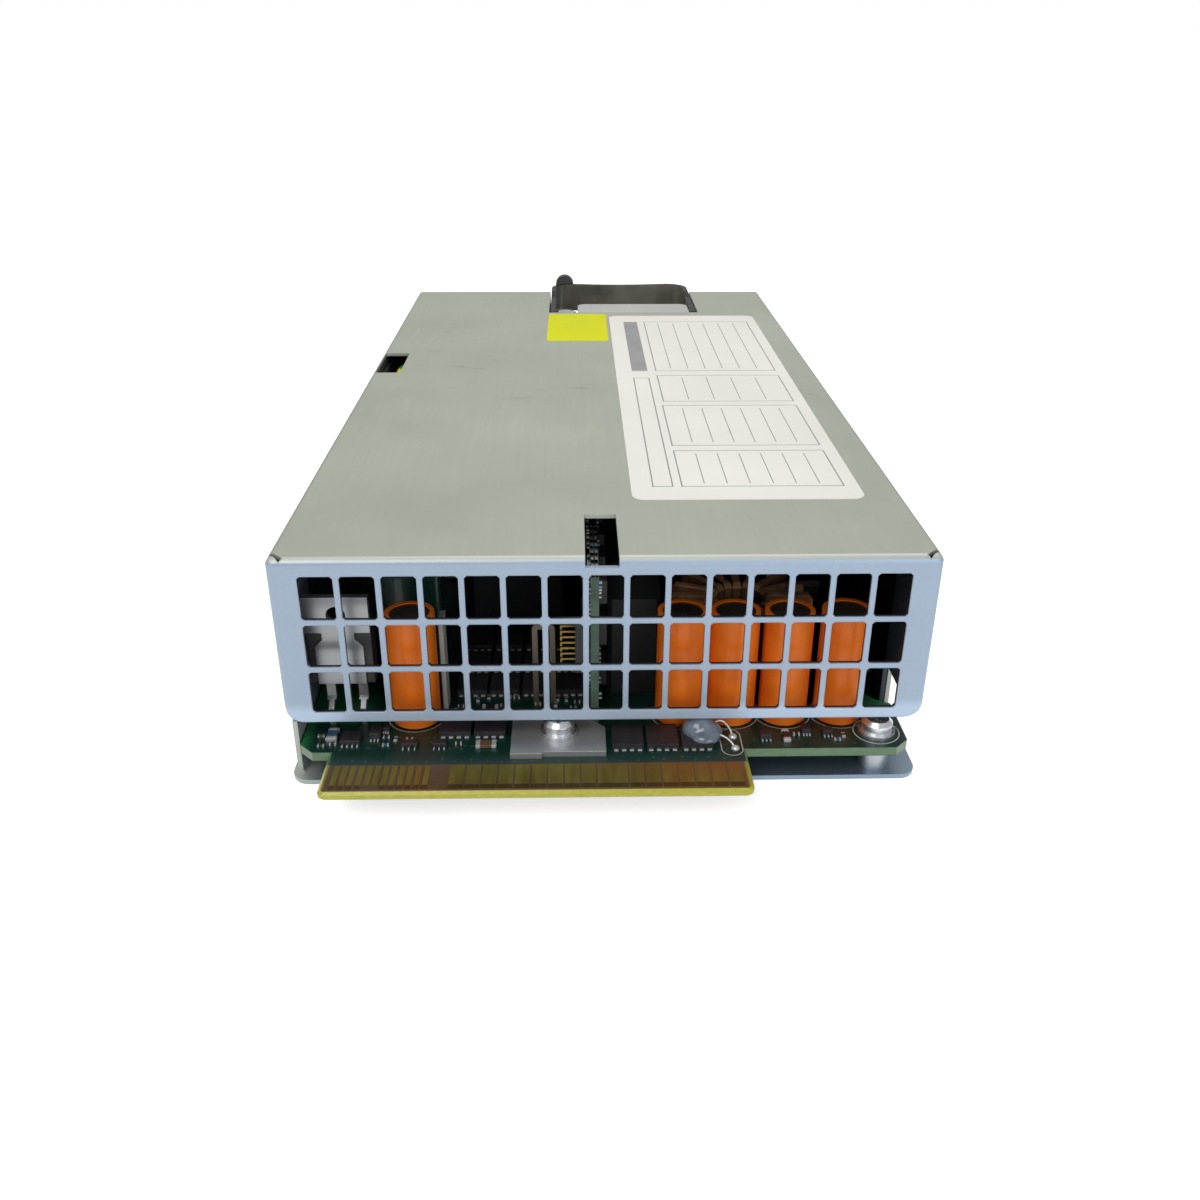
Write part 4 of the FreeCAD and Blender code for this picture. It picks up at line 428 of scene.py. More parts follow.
def contact_material(name):
    """Plated contacts: olive gold, rubbed in stripes, warmer at the rear right and dull along the front."""
    made = Shader(name, (0.3, 0.25, 0.06), 0.85, 0.34)
    wiped = made.noise(420, 5, (2.5, 0.35, 1))
    gold = made.blend(wiped, SOFT, (0.24, 0.18, 0.03), (0.33, 0.26, 0.05))
    warm = made.product(made.ramp(made.axis("X"), -5 * MM, 22 * MM),
                        made.ramp(made.axis("Y"), -11 * MM, -7 * MM))
    gold = made.mix(warm, gold, (0.36, 0.15, 0.03))
    worn_off = made.below(made.axis("Y"), CONTACTS_FRONT + 1.0 * MM)
    made.color(made.mix(worn_off, gold, (0.13, 0.08, 0.025)))
    made.roughness(made.ramp(wiped, *FIRM, 0.34, 0.46))
    made.bump(made.noise(3000, 2, (4, 0.3, 1)), 0.05, 0.03 * MM)
    return made.material


CHIP_BLACK, CHIP_DUST = (0.016, 0.015, 0.018), (0.02, 0.02, 0.02)
CHIP_BLUE, CHIP_BROWN, CHIP_GREY = (0.025, 0.1, 0.18), (0.13, 0.075, 0.035), (0.04, 0.036, 0.036)
BROWN_FROM, GREY_FROM = 0.78, 0.9


def small_parts_material(name, black=0.6):
    """Small surface parts, each with its own colour: a share of them black, then blue, brown or grey."""
    made = Shader(name, (0.03, 0.03, 0.03), 0.0, 0.4)
    chance = made.node("ShaderNodeNewGeometry").outputs["Random Per Island"]
    tone = CHIP_BLACK
    for start, color in ((black, CHIP_BLUE), (BROWN_FROM, CHIP_BROWN), (GREY_FROM, CHIP_GREY)):
        tone = made.mix(made.above(chance, start), tone, color)
    made.color(made.mix(made.ramp(made.noise(900, 3), *SOFT, 0, 0.3), tone, CHIP_DUST))
    made.bump(made.noise(2500, 2), 0.2, 0.05 * MM, 0.08 * MM)
    return made.material


def gold_material(name):
    """Gold flash on the header's pins, unevenly wiped."""
    made = Shader(name, (0.3, 0.2, 0.07), 0.9, 0.3)
    wiped = made.noise(260, 5, (2.5, 0.5, 1))
    made.color(made.blend(wiped, FIRM, (0.16, 0.1, 0.03), (0.36, 0.26, 0.09)))
    made.roughness(made.ramp(wiped, *FIRM, 0.22, 0.42))
    made.bump(made.noise(3000, 2, (4, 0.3, 1)), 0.08, 0.03 * MM)
    return made.material


def sleeve_material(name):
    """Shrunk orange film: glossy, with slight ripples down its length."""
    made = Shader(name, (0.72, 0.14, 0.01), 0.0, 0.36)
    made.color(made.blend(made.noise(150, 3), SOFT, (0.74, 0.135, 0.006), (0.86, 0.185, 0.012)))
    made.bump(made.noise(420, 3, (1, 1, 0.25)))
    made.set("Specular IOR Level", 0.3)
    made.set("Coat Weight", 0.06)
    return made.material


def copper_material(name):
    """Enamelled copper strands, painted dark in the gaps between them as painted shade and bright along their
    crowns as a painted highlight, by how far each face turns up and to the front.
    """
    made = Shader(name, (0.6, 0.28, 0.1), 0.4, 0.25)
    strand = made.blend(made.noise(500, 3), SOFT, (0.85, 0.36, 0.13), (1.0, 0.6, 0.32))
    # Painted highlight and painted shade: faces turned up and to the front are painted bright copper, the
    # others dark brown.
    made.color(made.blend(made.facing((0.1, -0.55, 0.8)), (0.2, 0.8), (0.16, 0.055, 0.02), strand))
    made.bump(made.noise(1500, 2), 0.1, 0.03 * MM, 0.4 * MM)
    made.set("Coat Weight", 0.4)
    return made.material


def wire_material(name):
    """Green insulation with a yellow stripe wound round it."""
    made = Shader(name, (0.5, 0.6, 0.03), 0.0, 0.4)
    wave = made.node("ShaderNodeTexWave", wave_type="BANDS", bands_direction="DIAGONAL")
    wave.inputs["Scale"].default_value = 110
    wave.inputs["Distortion"].default_value = 0.5
    made.link(made.coords, wave.inputs["Vector"])
    made.color(made.blend(wave.outputs["Fac"], (0.45, 0.55), (0.06, 0.35, 0.06), (0.75, 0.7, 0.04)))
    made.bump(made.noise(900, 2), 0.08, 0.03 * MM)
    return made.material


def sealant_material(name):
    """Cured gel: cloudy, glossy and a little lumpy."""
    made = Shader(name, (0.12, 0.145, 0.18), 0.0, 0.2)
    made.color(made.blend(made.noise(300, 3), FIRM, (0.09, 0.115, 0.15), (0.17, 0.2, 0.235)))
    made.bump(made.noise(400, 2), 0.12)
    made.set("Coat Weight", 0.5)
    return made.material


def lacquer_material(name):
    """Dark glossy lacquer on the strap, with a painted uneven sheen inside, and painted shade on its upper
    edge, which is black and less specular.
    """
    made = Shader(name, (0.1, 0.095, 0.08), 0.0, 0.26)
    # Painted sheen: uneven lighter and darker patches inside.
    inner = made.blend(made.noise(70, 3), FIRM, (0.05, 0.046, 0.04), (0.15, 0.145, 0.115))
    # Painted shade: faces turned upward are painted black, with less specular.
    upper = made.ramp(made.facing((0, 0, 1)), 0.5, 0.9)
    made.color(made.mix(upper, inner, (0.008, 0.008, 0.009)))
    made.link(made.ramp(upper, 0, 1, 0.5, 0.08), made.bsdf.inputs["Specular IOR Level"])
    made.bump(made.noise(1200, 2), 0.1, 0.05 * MM, 0.3 * MM)
    return made.material


def tape_material(name):
    """Dark tape wound round the transformer in level turns."""
    made = Shader(name, (0.04, 0.035, 0.03), 0.0, 0.35)
    turns = made.noise(60, 2, (0.2, 0.2, 8))
    made.color(made.blend(turns, FIRM, (0.03, 0.026, 0.02), (0.05, 0.045, 0.035)))
    made.bump(turns)
    return made.material


ZINC = (0.44, 0.46, 0.385)
STEEL = sheet_metal("zinc_sheet", ZINC, 0.5, 0.5, tones=cover_tones)
PANEL_STEEL = sheet_metal("zinc_sheet_front", (0.308, 0.377, 0.468), 0.45, 0.5, 0.25 * MM, panel_tones)
MATERIALS = {
    "front_grille": PANEL_STEEL,
    "top_cover": STEEL,
    "base_tray": sheet_metal("zinc_tray", (0.24, 0.31, 0.39), 0.32, tones=tray_tones),
    "rear_panel": sheet_metal("zinc_rear", ZINC, 0.5, 0.5),
    "board_standoffs": plain("standoff_plating", (0.42, 0.44, 0.46), 0.9, 0.4),
    "handle_well": sheet_metal("zinc_well", (0.62, 0.62, 0.58), 0.4),
    "cover_screws": plain("screw_plating", (0.5, 0.5, 0.48), 1.0, 0.3),
    "handle": lacquer_material("handle_lacquer"),
    # Painted shade: the bosses' plating is painted dark where it sits in the dark well.
    "handle_bosses": plain("boss_plating_shaded", (0.2, 0.22, 0.2), 0.9, 0.3),
    "latch_slide": sheet_metal("latch_sheet", (0.4, 0.4, 0.39)),
    "thumb_tab": plain("tab_moulding", (0.05, 0.045, 0.04), 0.0, 0.45, 0.15, 500, 0.4, 0.6 * MM),
    "latch_spring": plain("spring_wire", (0.5, 0.5, 0.52), 1.0, 0.25),
    "main_board": board_material("solder_mask"),
    "daughter_board": plain("daughter_mask", (0.06, 0.11, 0.075), 0.0, 0.4, 0.4, 1500, 0.4),
    "edge_contacts": contact_material("gold_plate"),
    "header_pins": gold_material("pin_gold"),
    "ground_plate": plain("tinned_plate", (0.42, 0.42, 0.42), 0.7, 0.4, 0.05, 300, 0.05, 0.2 * MM),
    "output_capacitor_cans": plain("can_top", (0.09, 0.07, 0.055), 0.7, 0.3, 0.3, 700, 0.2),
    "output_capacitor_sleeves": sleeve_material("orange_film"),
    "transistor_lead_frame": plain("tinned_copper", (0.29, 0.3, 0.31), 0.8, 0.34, 0.1, 500, 0.12, 0.15 * MM),
    "transistor_body": plain("epoxy_body", (0.02, 0.02, 0.02), 0.0, 0.5, 0.2, 500, 0.3, 0.2 * MM),
    "output_choke_core": plain("choke_core", (0.04, 0.045, 0.05), 0.0, 0.6, 0.2, 500, 0.4),
    "output_choke_winding": copper_material("copper_enamel"),
    "film_capacitor": plain("green_dip", (0.006, 0.03, 0.022), 0.0, 0.25, 0.2, 300, 0.3, 0.4 * MM, 0.3),
    "barrier_strip": plain("fibre_strip", (0.4, 0.38, 0.33), 0.0, 0.6, 0.1, 500, 0.2),
    "sealant_blob": sealant_material("sealant_gel"),
    "jumper_link": plain("dull_link", (0.16, 0.13, 0.1), 0.6, 0.45, 0.15, 600, 0.2),
    "bulk_capacitor_sleeve": plain("dark_film", (0.03, 0.035, 0.07), 0.0, 0.25, 0.2, 200, 0.2),
    "transformer_winding": tape_material("winding_tape"),
    "heatsink": plain("extrusion", (0.5, 0.51, 0.52), 1.0, 0.35, 0.1, 300, 0.1),
    "line_choke_winding": copper_material("choke_copper"),
    "line_capacitor": plain("grey_case", (0.06, 0.06, 0.06), 0.0, 0.45, 0.1, 300, 0.2, 0.4 * MM),
    "relay": plain("relay_case", (0.03, 0.03, 0.03), 0.0, 0.5, 0.2, 400, 0.2, 0.4 * MM),
    "insulator_sheet": plain("insulator", (0.12, 0.1, 0.06), 0.0, 0.3, 0.15, 200, 0.1),
    "fan_frame": plain("fan_moulding", (0.02, 0.02, 0.022), 0.0, 0.5, 0.2, 500, 0.3, 0.3 * MM),
    "fan_rotor": plain("rotor_moulding", (0.025, 0.025, 0.028), 0.0, 0.42, 0.2, 400, 0.2, 0.3 * MM),
    "inlet_housing": plain("inlet_moulding", (0.022, 0.022, 0.023), 0.0, 0.45, 0.2, 500, 0.35, 0.3 * MM),
    "status_lights": plain("lens", (0.5, 0.62, 0.5), 0.0, 0.25, 0.1, 300, 0.1, None, 0.5),
    "earth_wire": wire_material("striped_insulation"),
}
BY_SLOT = {
    "nickel": plain("nickel_plate", (0.66, 0.67, 0.69), 0.95, 0.28, 0.08, 600, 0.08, 0.15 * MM),
    "tinned_metal": plain("tinned", (0.6, 0.6, 0.58), 0.9, 0.35, 0.12, 600, 0.15),
    "black_epoxy": plain("chip_epoxy", (0.024, 0.021, 0.024), 0.0, 0.42, 0.25, 900, 0.3, 0.1 * MM),
    "black_plastic": plain("black_moulding", (0.025, 0.025, 0.025), 0.0, 0.5, 0.2, 500, 0.3, 0.2 * MM),
    "ferrite": plain("ferrite", (0.006, 0.006, 0.007), 0.0, 0.7, 0.25, 500, 0.4),
    "capacitor_aluminium": plain("aluminium_can", (0.5, 0.5, 0.5), 1.0, 0.35, 0.1, 400, 0.1),
    "fuse_glass": plain("fuse_body", (0.75, 0.78, 0.75), 0.0, 0.15, 0.05, 300, 0.05),
    "galvanised_steel": STEEL,
}
SLOT_OF = {row["node"]: row["material_slot"] for row in frame["record"]["subparts"]}
for node, piece in frame["nodes"].items():
    piece.data.materials.clear()
    piece.data.materials.append(MATERIALS.get(node) or BY_SLOT[SLOT_OF[node]])

SILK = plain("silk_ink", (0.45, 0.47, 0.44), 0.0, 0.6, 0.08, 900, 0.1)
SOLDER = plain("solder", (0.62, 0.62, 0.62), 0.5, 0.25, 0.1, 900, 0.2)
HOLE_RIM = plain("hole_rim", (0.1, 0.16, 0.07), 0.3, 0.45)
INK = plain("grey_ink", (0.3, 0.3, 0.3), 0.0, 0.6, 0.1, 900, 0.05)
WHITE_LABEL = plain("label_paper", (0.83, 0.81, 0.74), 0.0, 0.42, 0.03, 200, 0.1)
YELLOW_LABEL = plain("label_yellow", (0.68, 0.7, 0.001), 0.0, 0.7, 0.06, 200, 0.1)
YELLOW_LABEL.node_tree.nodes["Principled BSDF"].inputs["Specular IOR Level"].default_value = 0.2


# ---- Forms
BEVEL_STEPS, RING_STEPS = 2, 48


def add_object(name, data):
    made = bpy.data.objects.new(name, data)
    bpy.context.scene.collection.objects.link(made)
    return made


def add_piece(name, data, material):
    """A visible piece that rides on the casing."""
    data.materials.append(material)
    piece = add_object(name, data)
    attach(piece, CASING)
    return piece


def add_mesh(name, mesh, material):
    data = bpy.data.meshes.new(name)
    mesh.to_mesh(data)
    mesh.free()
    return add_piece(name, data, material)


def add_box(mesh, low_corner, high_corner, bevel=0.0):
    size = Vector(high_corner) - Vector(low_corner)
    middle = (Vector(high_corner) + Vector(low_corner)) / 2
    place = Matrix.Translation(middle) @ Matrix.Diagonal((*size, 1))
    made = bmesh.ops.create_cube(mesh, size=1.0, matrix=place)
    if bevel:
        edges = {e for v in made["verts"] for e in v.link_edges}
        bmesh.ops.bevel(mesh, geom=list(edges), offset=bevel, segments=BEVEL_STEPS, affect="EDGES")


def set_ball(mesh, ball, place, radii):
    """Stretches a new ball of radius 1 and moves it to its place."""
    bmesh.ops.scale(mesh, vec=radii, verts=ball["verts"])
    bmesh.ops.translate(mesh, vec=place, verts=ball["verts"])


def add_ring(mesh, x, y, level, inner, outer, start=0.0, turn=360.0):
    """A flat ring, or a part of one."""
    rims = []
    for k in range(RING_STEPS + 1):
        angle = math.radians(start + turn * k / RING_STEPS)
        c, s = math.cos(angle), math.sin(angle)
        rims.append([mesh.verts.new((x + r * c, y + r * s, level)) for r in (inner, outer)])
    for (a, b), (c, d) in zip(rims, rims[1:]):
        mesh.faces.new((a, b, d, c))


# ---- Stickers
STICKER, COAT = 0.1 * MM, 0.01 * MM
CORNER_STEPS = 6
WHITE_SIDES, WHITE_CORNER = (4.9 * MM, 23.1 * MM, 44.2 * MM, 159.4 * MM), 2.2 * MM
YELLOW_SIDES, YELLOW_CORNER = (-11.5 * MM, 131.6 * MM, 4.1 * MM, 161.8 * MM), 0.9 * MM
# The white sticker's form in millimetres: a solid block, its fields' outlines, and the lines to write on.
BLOCK = (8.6, 103.0, 3.6, 49.0)
FIELDS = ((13.6, 29.0, 41.5, 47.5), (13.6, 50.5, 41.5, 76.0), (8.6, 29.0, 12.0, 97.0),
          (14.0, 79.0, 41.5, 99.0), (14.0, 103.0, 41.5, 152.0))
OUTLINE, RULE = 0.25, 0.18
CLOSE_RULES, CLOSE_RUNS = (17.6, 21.6, 25.6, 29.6, 33.6, 37.6), ((30.5, 15.5), (52.5, 21.5), (105.0, 45.0))
WIDE_RULES, WIDE_RUN = (19.5, 25.0, 30.5, 36.0), (80.5, 17.0)


def add_sticker(name, sides, radius, material):
    """A sticker with rounded corners on the cover."""
    x0, y0, x1, y1 = sides
    mesh = bmesh.new()
    outline = []
    for cx, cy, start in ((x1 - radius, y1 - radius, 0), (x0 + radius, y1 - radius, 90),
                          (x0 + radius, y0 + radius, 180), (x1 - radius, y0 + radius, 270)):
        for step in range(CORNER_STEPS + 1):
            angle = math.radians(start + step * 90 / CORNER_STEPS)
            outline.append((cx + radius * math.cos(angle), cy + radius * math.sin(angle)))
    face = mesh.faces.new([mesh.verts.new((x, y, TOP + STICKER)) for x, y in outline])
    made = bmesh.ops.extrude_face_region(mesh, geom=[face])
    lower = [v for v in made["geom"] if isinstance(v, bmesh.types.BMVert)]
    bmesh.ops.translate(mesh, vec=(0, 0, -STICKER), verts=lower)
    bmesh.ops.recalc_face_normals(mesh, faces=mesh.faces)
    add_mesh(name, mesh, material)


def sticker_rules():
    """The rules of an empty form, printed on the white sticker."""
    bars = [BLOCK]
    for x0, y0, x1, y1 in FIELDS:
        bars += [(x0, y0, x1 - x0, OUTLINE), (x0, y1, x1 - x0, OUTLINE),
                 (x0, y0, OUTLINE, y1 - y0), (x1, y0, OUTLINE, y1 - y0)]
    for x in CLOSE_RULES:
        bars += [(x, y, RULE, length) for y, length in CLOSE_RUNS]
    for x in WIDE_RULES:
        bars.append((x, WIDE_RUN[0], RULE, WIDE_RUN[1]))
    mesh = bmesh.new()
    level = TOP + STICKER
    for x, y, width, length in bars:
        add_box(mesh, (x * MM, y * MM, level), ((x + width) * MM, (y + length) * MM, level + COAT))
    add_mesh("sticker_rules", mesh, INK)


# ---- The main board's small parts
SILK_LIFT, SILK_COATS = 0.02 * MM, (0.0, 0.001 * MM)
CAN_RING, SCREW_RING = (0.55 * MM, 0.7 * MM), (0.6 * MM, 0.78 * MM)
RIGHT_OF, IN_FRONT_OF = 30 * MM, 20 * MM
LOOP_X, LOOP_REAR, LOOP_FRONT, LOOP_RADII = 20.1 * MM, 1.1 * MM, -3.0 * MM, (1.6 * MM, 1.75 * MM)
LOOP_SIDES, LOOP_LINE = (18.43, 21.78), 0.08


def silk_screen():
    """Printed rings round the capacitors and the right screw, and the loop round the sensor's wires."""
    mesh = bmesh.new()
    level = BOARD_TOP + SILK_LIFT
    ringed = [(box, CAN_RING) for box in islands("output_capacitor_sleeves")]
    ringed += [(box, SCREW_RING) for box in islands("board_screws")
               if box[0].x > RIGHT_OF and box[0].y < IN_FRONT_OF]
    for (lowest, highest), (inner, outer) in ringed:
        centre, radius = (lowest + highest) / 2, (highest.x - lowest.x) / 2
        add_ring(mesh, centre.x, centre.y, level, radius + inner, radius + outer)
    for lift in SILK_COATS:
        add_ring(mesh, LOOP_X, LOOP_REAR, level + lift, *LOOP_RADII, 0, 180)
        add_ring(mesh, LOOP_X, LOOP_FRONT, level + lift, *LOOP_RADII, 180, 180)
    for x in LOOP_SIDES:
        left, right = (x - LOOP_LINE) * MM, (x + LOOP_LINE) * MM
        add_box(mesh, (left, LOOP_FRONT, level - COAT), (right, LOOP_REAR, level))
    add_mesh("silk_screen", mesh, SILK)


PACKAGE_PADS, PAD_HALF, PAD_REACH, PAD_LAP = 4, 0.36 * MM, 0.42 * MM, 0.05 * MM
PAD_THICK, PAD_BEVEL = 0.18 * MM, 0.06 * MM


def package_pads():
    """Soldered pads along the front of the flat packages."""
    mesh = bmesh.new()
    for lowest, highest in islands("output_mosfets"):
        wide = highest.x - lowest.x
        for k in range(PACKAGE_PADS):
            x = lowest.x + wide * (k + 0.5) / PACKAGE_PADS
            add_box(mesh, (x - PAD_HALF, lowest.y - PAD_REACH, BOARD_TOP),
                    (x + PAD_HALF, lowest.y + PAD_LAP, BOARD_TOP + PAD_THICK), PAD_BEVEL)
    add_mesh("solder_pads", mesh, SOLDER)


LONG_BY, FLAT_BELOW = 1.5, 0.75 * MM
END_SHARE, END_LAP, END_BEVEL, BODY_BEVEL = 0.22, 0.04 * MM, 0.08 * MM, 0.1 * MM
FEWEST_PINS, PIN_PITCH, PIN_REACH = 3, 0.75 * MM, 0.6 * MM
PIN_HALF, PIN_TALL, PIN_BEVEL = 0.13 * MM, 0.25 * MM, 0.05 * MM
SHARE_BLACK = 0.3


def tinned_ends(ends, lowest, highest, along_y):
    """Both ends of a two-ended part, which lap over its body."""
    size = highest - lowest
    if along_y:
        caps = ((lowest.x, lowest.y, highest.x, lowest.y + END_SHARE * size.y),
                (lowest.x, highest.y - END_SHARE * size.y, highest.x, highest.y))
    else:
        caps = ((lowest.x, lowest.y, lowest.x + END_SHARE * size.x, highest.y),
                (highest.x - END_SHARE * size.x, lowest.y, highest.x, highest.y))
    for x0, y0, x1, y1 in caps:
        add_box(ends, (x0 - END_LAP, y0 - END_LAP, BOARD_TOP),
                (x1 + END_LAP, y1 + END_LAP, highest.z + END_LAP), END_BEVEL)


def chip_pins(ends, lowest, highest):
    """Pins along the front and the rear of a chip."""
    wide = (highest - lowest).x
    count = max(FEWEST_PINS, int(wide / PIN_PITCH))
    for k in range(count):
        x = lowest.x + wide * (k + 0.5) / count
        for y0, y1 in ((lowest.y - PIN_REACH, lowest.y), (highest.y, highest.y + PIN_REACH)):
            add_box(ends, (x - PIN_HALF, y0, BOARD_TOP), (x + PIN_HALF, y1, BOARD_TOP + PIN_TALL), PIN_BEVEL)


def surface_parts():
    """The small parts with softened edges: two-ended ones with tinned ends, the others with pins."""
    bodies, coloured, ends = bmesh.new(), bmesh.new(), bmesh.new()
    for lowest, highest in islands("board_chips"):
        size = highest - lowest
        along_y, along_x = size.y > LONG_BY * size.x, size.x > LONG_BY * size.y
        if size.z < FLAT_BELOW and (along_y or along_x):
            add_box(coloured, lowest, highest, END_BEVEL)
            tinned_ends(ends, lowest, highest, along_y)
        else:
            add_box(bodies, lowest, highest, BODY_BEVEL)
            chip_pins(ends, lowest, highest)
    add_mesh("chip_resistors", coloured, small_parts_material("chip_mix", SHARE_BLACK))
    add_mesh("chip_ends", ends, SOLDER)
    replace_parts(add_mesh("chip_bodies", bodies, BY_SLOT["black_epoxy"]), "board_chips")


def footprint(x0, y0, x1, y1):
    return Vector((x0, y0, 0)), Vector((x1, y1, 0))


def crowded(x, y, taken, margin):
    return any(a.x - margin < x < b.x + margin and a.y - margin < y < b.y + margin for a, b in taken)


TINY_LONG, TINY_SHORT, TINY_TALL, TINY_BEVEL = 0.5 * MM, 0.27 * MM, (0.3, 0.5), 0.03 * MM
TINY_END, TINY_END_AT, TINY_LAP = 0.14 * MM, 0.8, 0.02 * MM
TINY_SPACING, SHARE_ACROSS = 0.75 * MM, 0.6
OCCUPIED = ("board_chips", "output_mosfets", "output_capacitor_sleeves", "ground_plate", "film_capacitor",
            "transistor_lead_frame", "barrier_strip", "board_screws")
# Each free place's left, right, front and rear in millimetres, and how many times a part is tried in it.
FREE_PLACES = ((-46.5, -29.0, -1.6, 6.0, 70), (-26.0, -16.5, -1.8, 0.6, 8), (-30.0, -4.0, 7.5, 13.5, 34),
               (23.5, 40.0, -1.2, 2.6, 8))


def tiny_part(bodies, ends, x, y, across, tall):
    """Adds a chip part with its two ends and gives its footprint."""
    wide, deep = (TINY_LONG, TINY_SHORT) if across else (TINY_SHORT, TINY_LONG)
    add_box(bodies, (x - wide, y - deep, BOARD_TOP), (x + wide, y + deep, BOARD_TOP + tall), TINY_BEVEL)
    w, d = (TINY_END, deep + TINY_LAP) if across else (wide + TINY_LAP, TINY_END)
    for side in (-1, 1):
        cx = x + side * wide * TINY_END_AT if across else x
        cy = y if across else y + side * deep * TINY_END_AT
        add_box(ends, (cx - w, cy - d, BOARD_TOP), (cx + w, cy + d, BOARD_TOP + tall + TINY_LAP), TINY_BEVEL)
    return footprint(x - wide, y - deep, x + wide, y + deep)


def tiny_parts():
    """Chip parts strewn in the free places of the board's front."""
    bodies, ends = bmesh.new(), bmesh.new()
    taken = [box for node in OCCUPIED for box in islands(node)]
    for left, right, front, rear, tries in FREE_PLACES:
        for _ in range(tries):
            x, y = rng.uniform(left, right) * MM, rng.uniform(front, rear) * MM
            if not crowded(x, y, taken, TINY_SPACING):
                across = rng.random() < SHARE_ACROSS
                taken.append(tiny_part(bodies, ends, x, y, across, rng.uniform(*TINY_TALL) * MM))
    add_mesh("tiny_parts", bodies, small_parts_material("tiny_mix"))
    add_mesh("tiny_part_ends", ends, SOLDER)


HOLE_LIFT, HOLE_RADII, HOLE_SPACING = 0.015 * MM, (0.1 * MM, 0.19 * MM), 0.35 * MM
HOLE_TRIES, HOLES_ACROSS, HOLES_ALONG = 90, (-46, 46), (-2.3, 4.5)
ROW_HOLES, ROW_START, ROW_PITCH, ROW_JITTER, ROW_ALONG = 26, -40, 2.35, 0.4, (-6.0, -4.9)


def through_holes():
    """Plated rims of small through holes between the parts, and in a row by the card edge."""
    mesh = bmesh.new()
    taken = islands("board_chips") + islands("output_mosfets") + islands("ground_plate")
    level = BOARD_TOP + HOLE_LIFT
    for _ in range(HOLE_TRIES):
        x, y = rng.uniform(*HOLES_ACROSS) * MM, rng.uniform(*HOLES_ALONG) * MM
        if not crowded(x, y, taken, HOLE_SPACING):
            add_ring(mesh, x, y, level, *HOLE_RADII)
    for k in range(ROW_HOLES):
        x = (ROW_START + k * ROW_PITCH + rng.uniform(-ROW_JITTER, ROW_JITTER)) * MM
        add_ring(mesh, x, rng.uniform(*ROW_ALONG) * MM, level, *HOLE_RADII)
    add_mesh("through_holes", mesh, HOLE_RIM)


# Each lobe's place, height over the package, and half sizes, in millimetres.
LOBES = ((15.2, 1.0, 0.2, 2.9, 2.4, 2.6), (16.5, 0.2, 0.1, 2.4, 2.3, 2.0), (15.9, -1.1, 0.0, 2.3, 1.8, 1.2))
LOBE_DIVISIONS = 4
SEALANT_GRAIN, SETTLING, SETTLING_ROUNDS = 0.14 * MM, 0.6, 60


def sealant():
    """The dab of sealant: lobes run together into one smooth lump, slumped over the package's front."""
    mesh = bmesh.new()
    for x, y, lift, wide, deep, tall in LOBES:
        ball = bmesh.ops.create_icosphere(mesh, subdivisions=LOBE_DIVISIONS, radius=1.0)
        set_ball(mesh, ball, (x * MM, y * MM, PACKAGE_TOP + lift * MM), (wide * MM, deep * MM, tall * MM))
    piece = add_mesh("sealant_dab", mesh, MATERIALS["sealant_blob"])
    joined = piece.modifiers.new("joined", "REMESH")
    joined.mode = "VOXEL"
    joined.voxel_size = SEALANT_GRAIN
    joined.use_smooth_shade = True
    settled = piece.modifiers.new("settled", "SMOOTH")
    settled.factor = SETTLING
    settled.iterations = SETTLING_ROUNDS
    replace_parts(piece, "sealant_blob")


WIRE_RADIUS, WIRE_ROUNDING = 0.2 * MM, 3
# Each wire's points in millimetres, with their heights over the package, and its foot on the board.
WIRES = ((((17.0, 1.0, 1.0), (18.6, 1.9, 1.3), (20.0, 1.5, 0.2)), (20.6, 0.7)),
         (((16.8, -0.6, 0.5), (18.4, -1.0, 0.4), (19.8, -1.7, -0.2)), (20.6, -2.6)))
JOINTS, JOINT_RADII = ((20.6, 0.6), (20.6, -2.7)), (0.7 * MM, 0.7 * MM, 0.55 * MM)
JOINT_SEGMENTS, JOINT_RINGS = 14, 8


def sensor_wires():
    """Two bare wires on smooth curves from the sealant to the board."""
    data = bpy.data.curves.new("sensor_wires", "CURVE")
    data.dimensions = "3D"
    data.bevel_depth = WIRE_RADIUS
    data.bevel_resolution = WIRE_ROUNDING
    data.use_fill_caps = True
    for points, foot in WIRES:
        places = [(x * MM, y * MM, PACKAGE_TOP + lift * MM) for x, y, lift in points]
        places.append((foot[0] * MM, foot[1] * MM, BOARD_TOP))
        spline = data.splines.new("BEZIER")
        spline.bezier_points.add(len(places) - 1)
        for knot, place in zip(spline.bezier_points, places):
            knot.co = place
            knot.handle_left_type = knot.handle_right_type = "AUTO"
    piece = add_piece("sensor_wires", data, BY_SLOT["tinned_metal"])
    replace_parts(piece, "thermistor_leads")


def solder_joints():
    """The domes of solder round the wires' feet."""
    mesh = bmesh.new()
    for x, y in JOINTS:
        ball = bmesh.ops.create_uvsphere(mesh, u_segments=JOINT_SEGMENTS, v_segments=JOINT_RINGS, radius=1.0)
        set_ball(mesh, ball, (x * MM, y * MM, BOARD_TOP), JOINT_RADII)
    add_mesh("solder_joints", mesh, SOLDER)


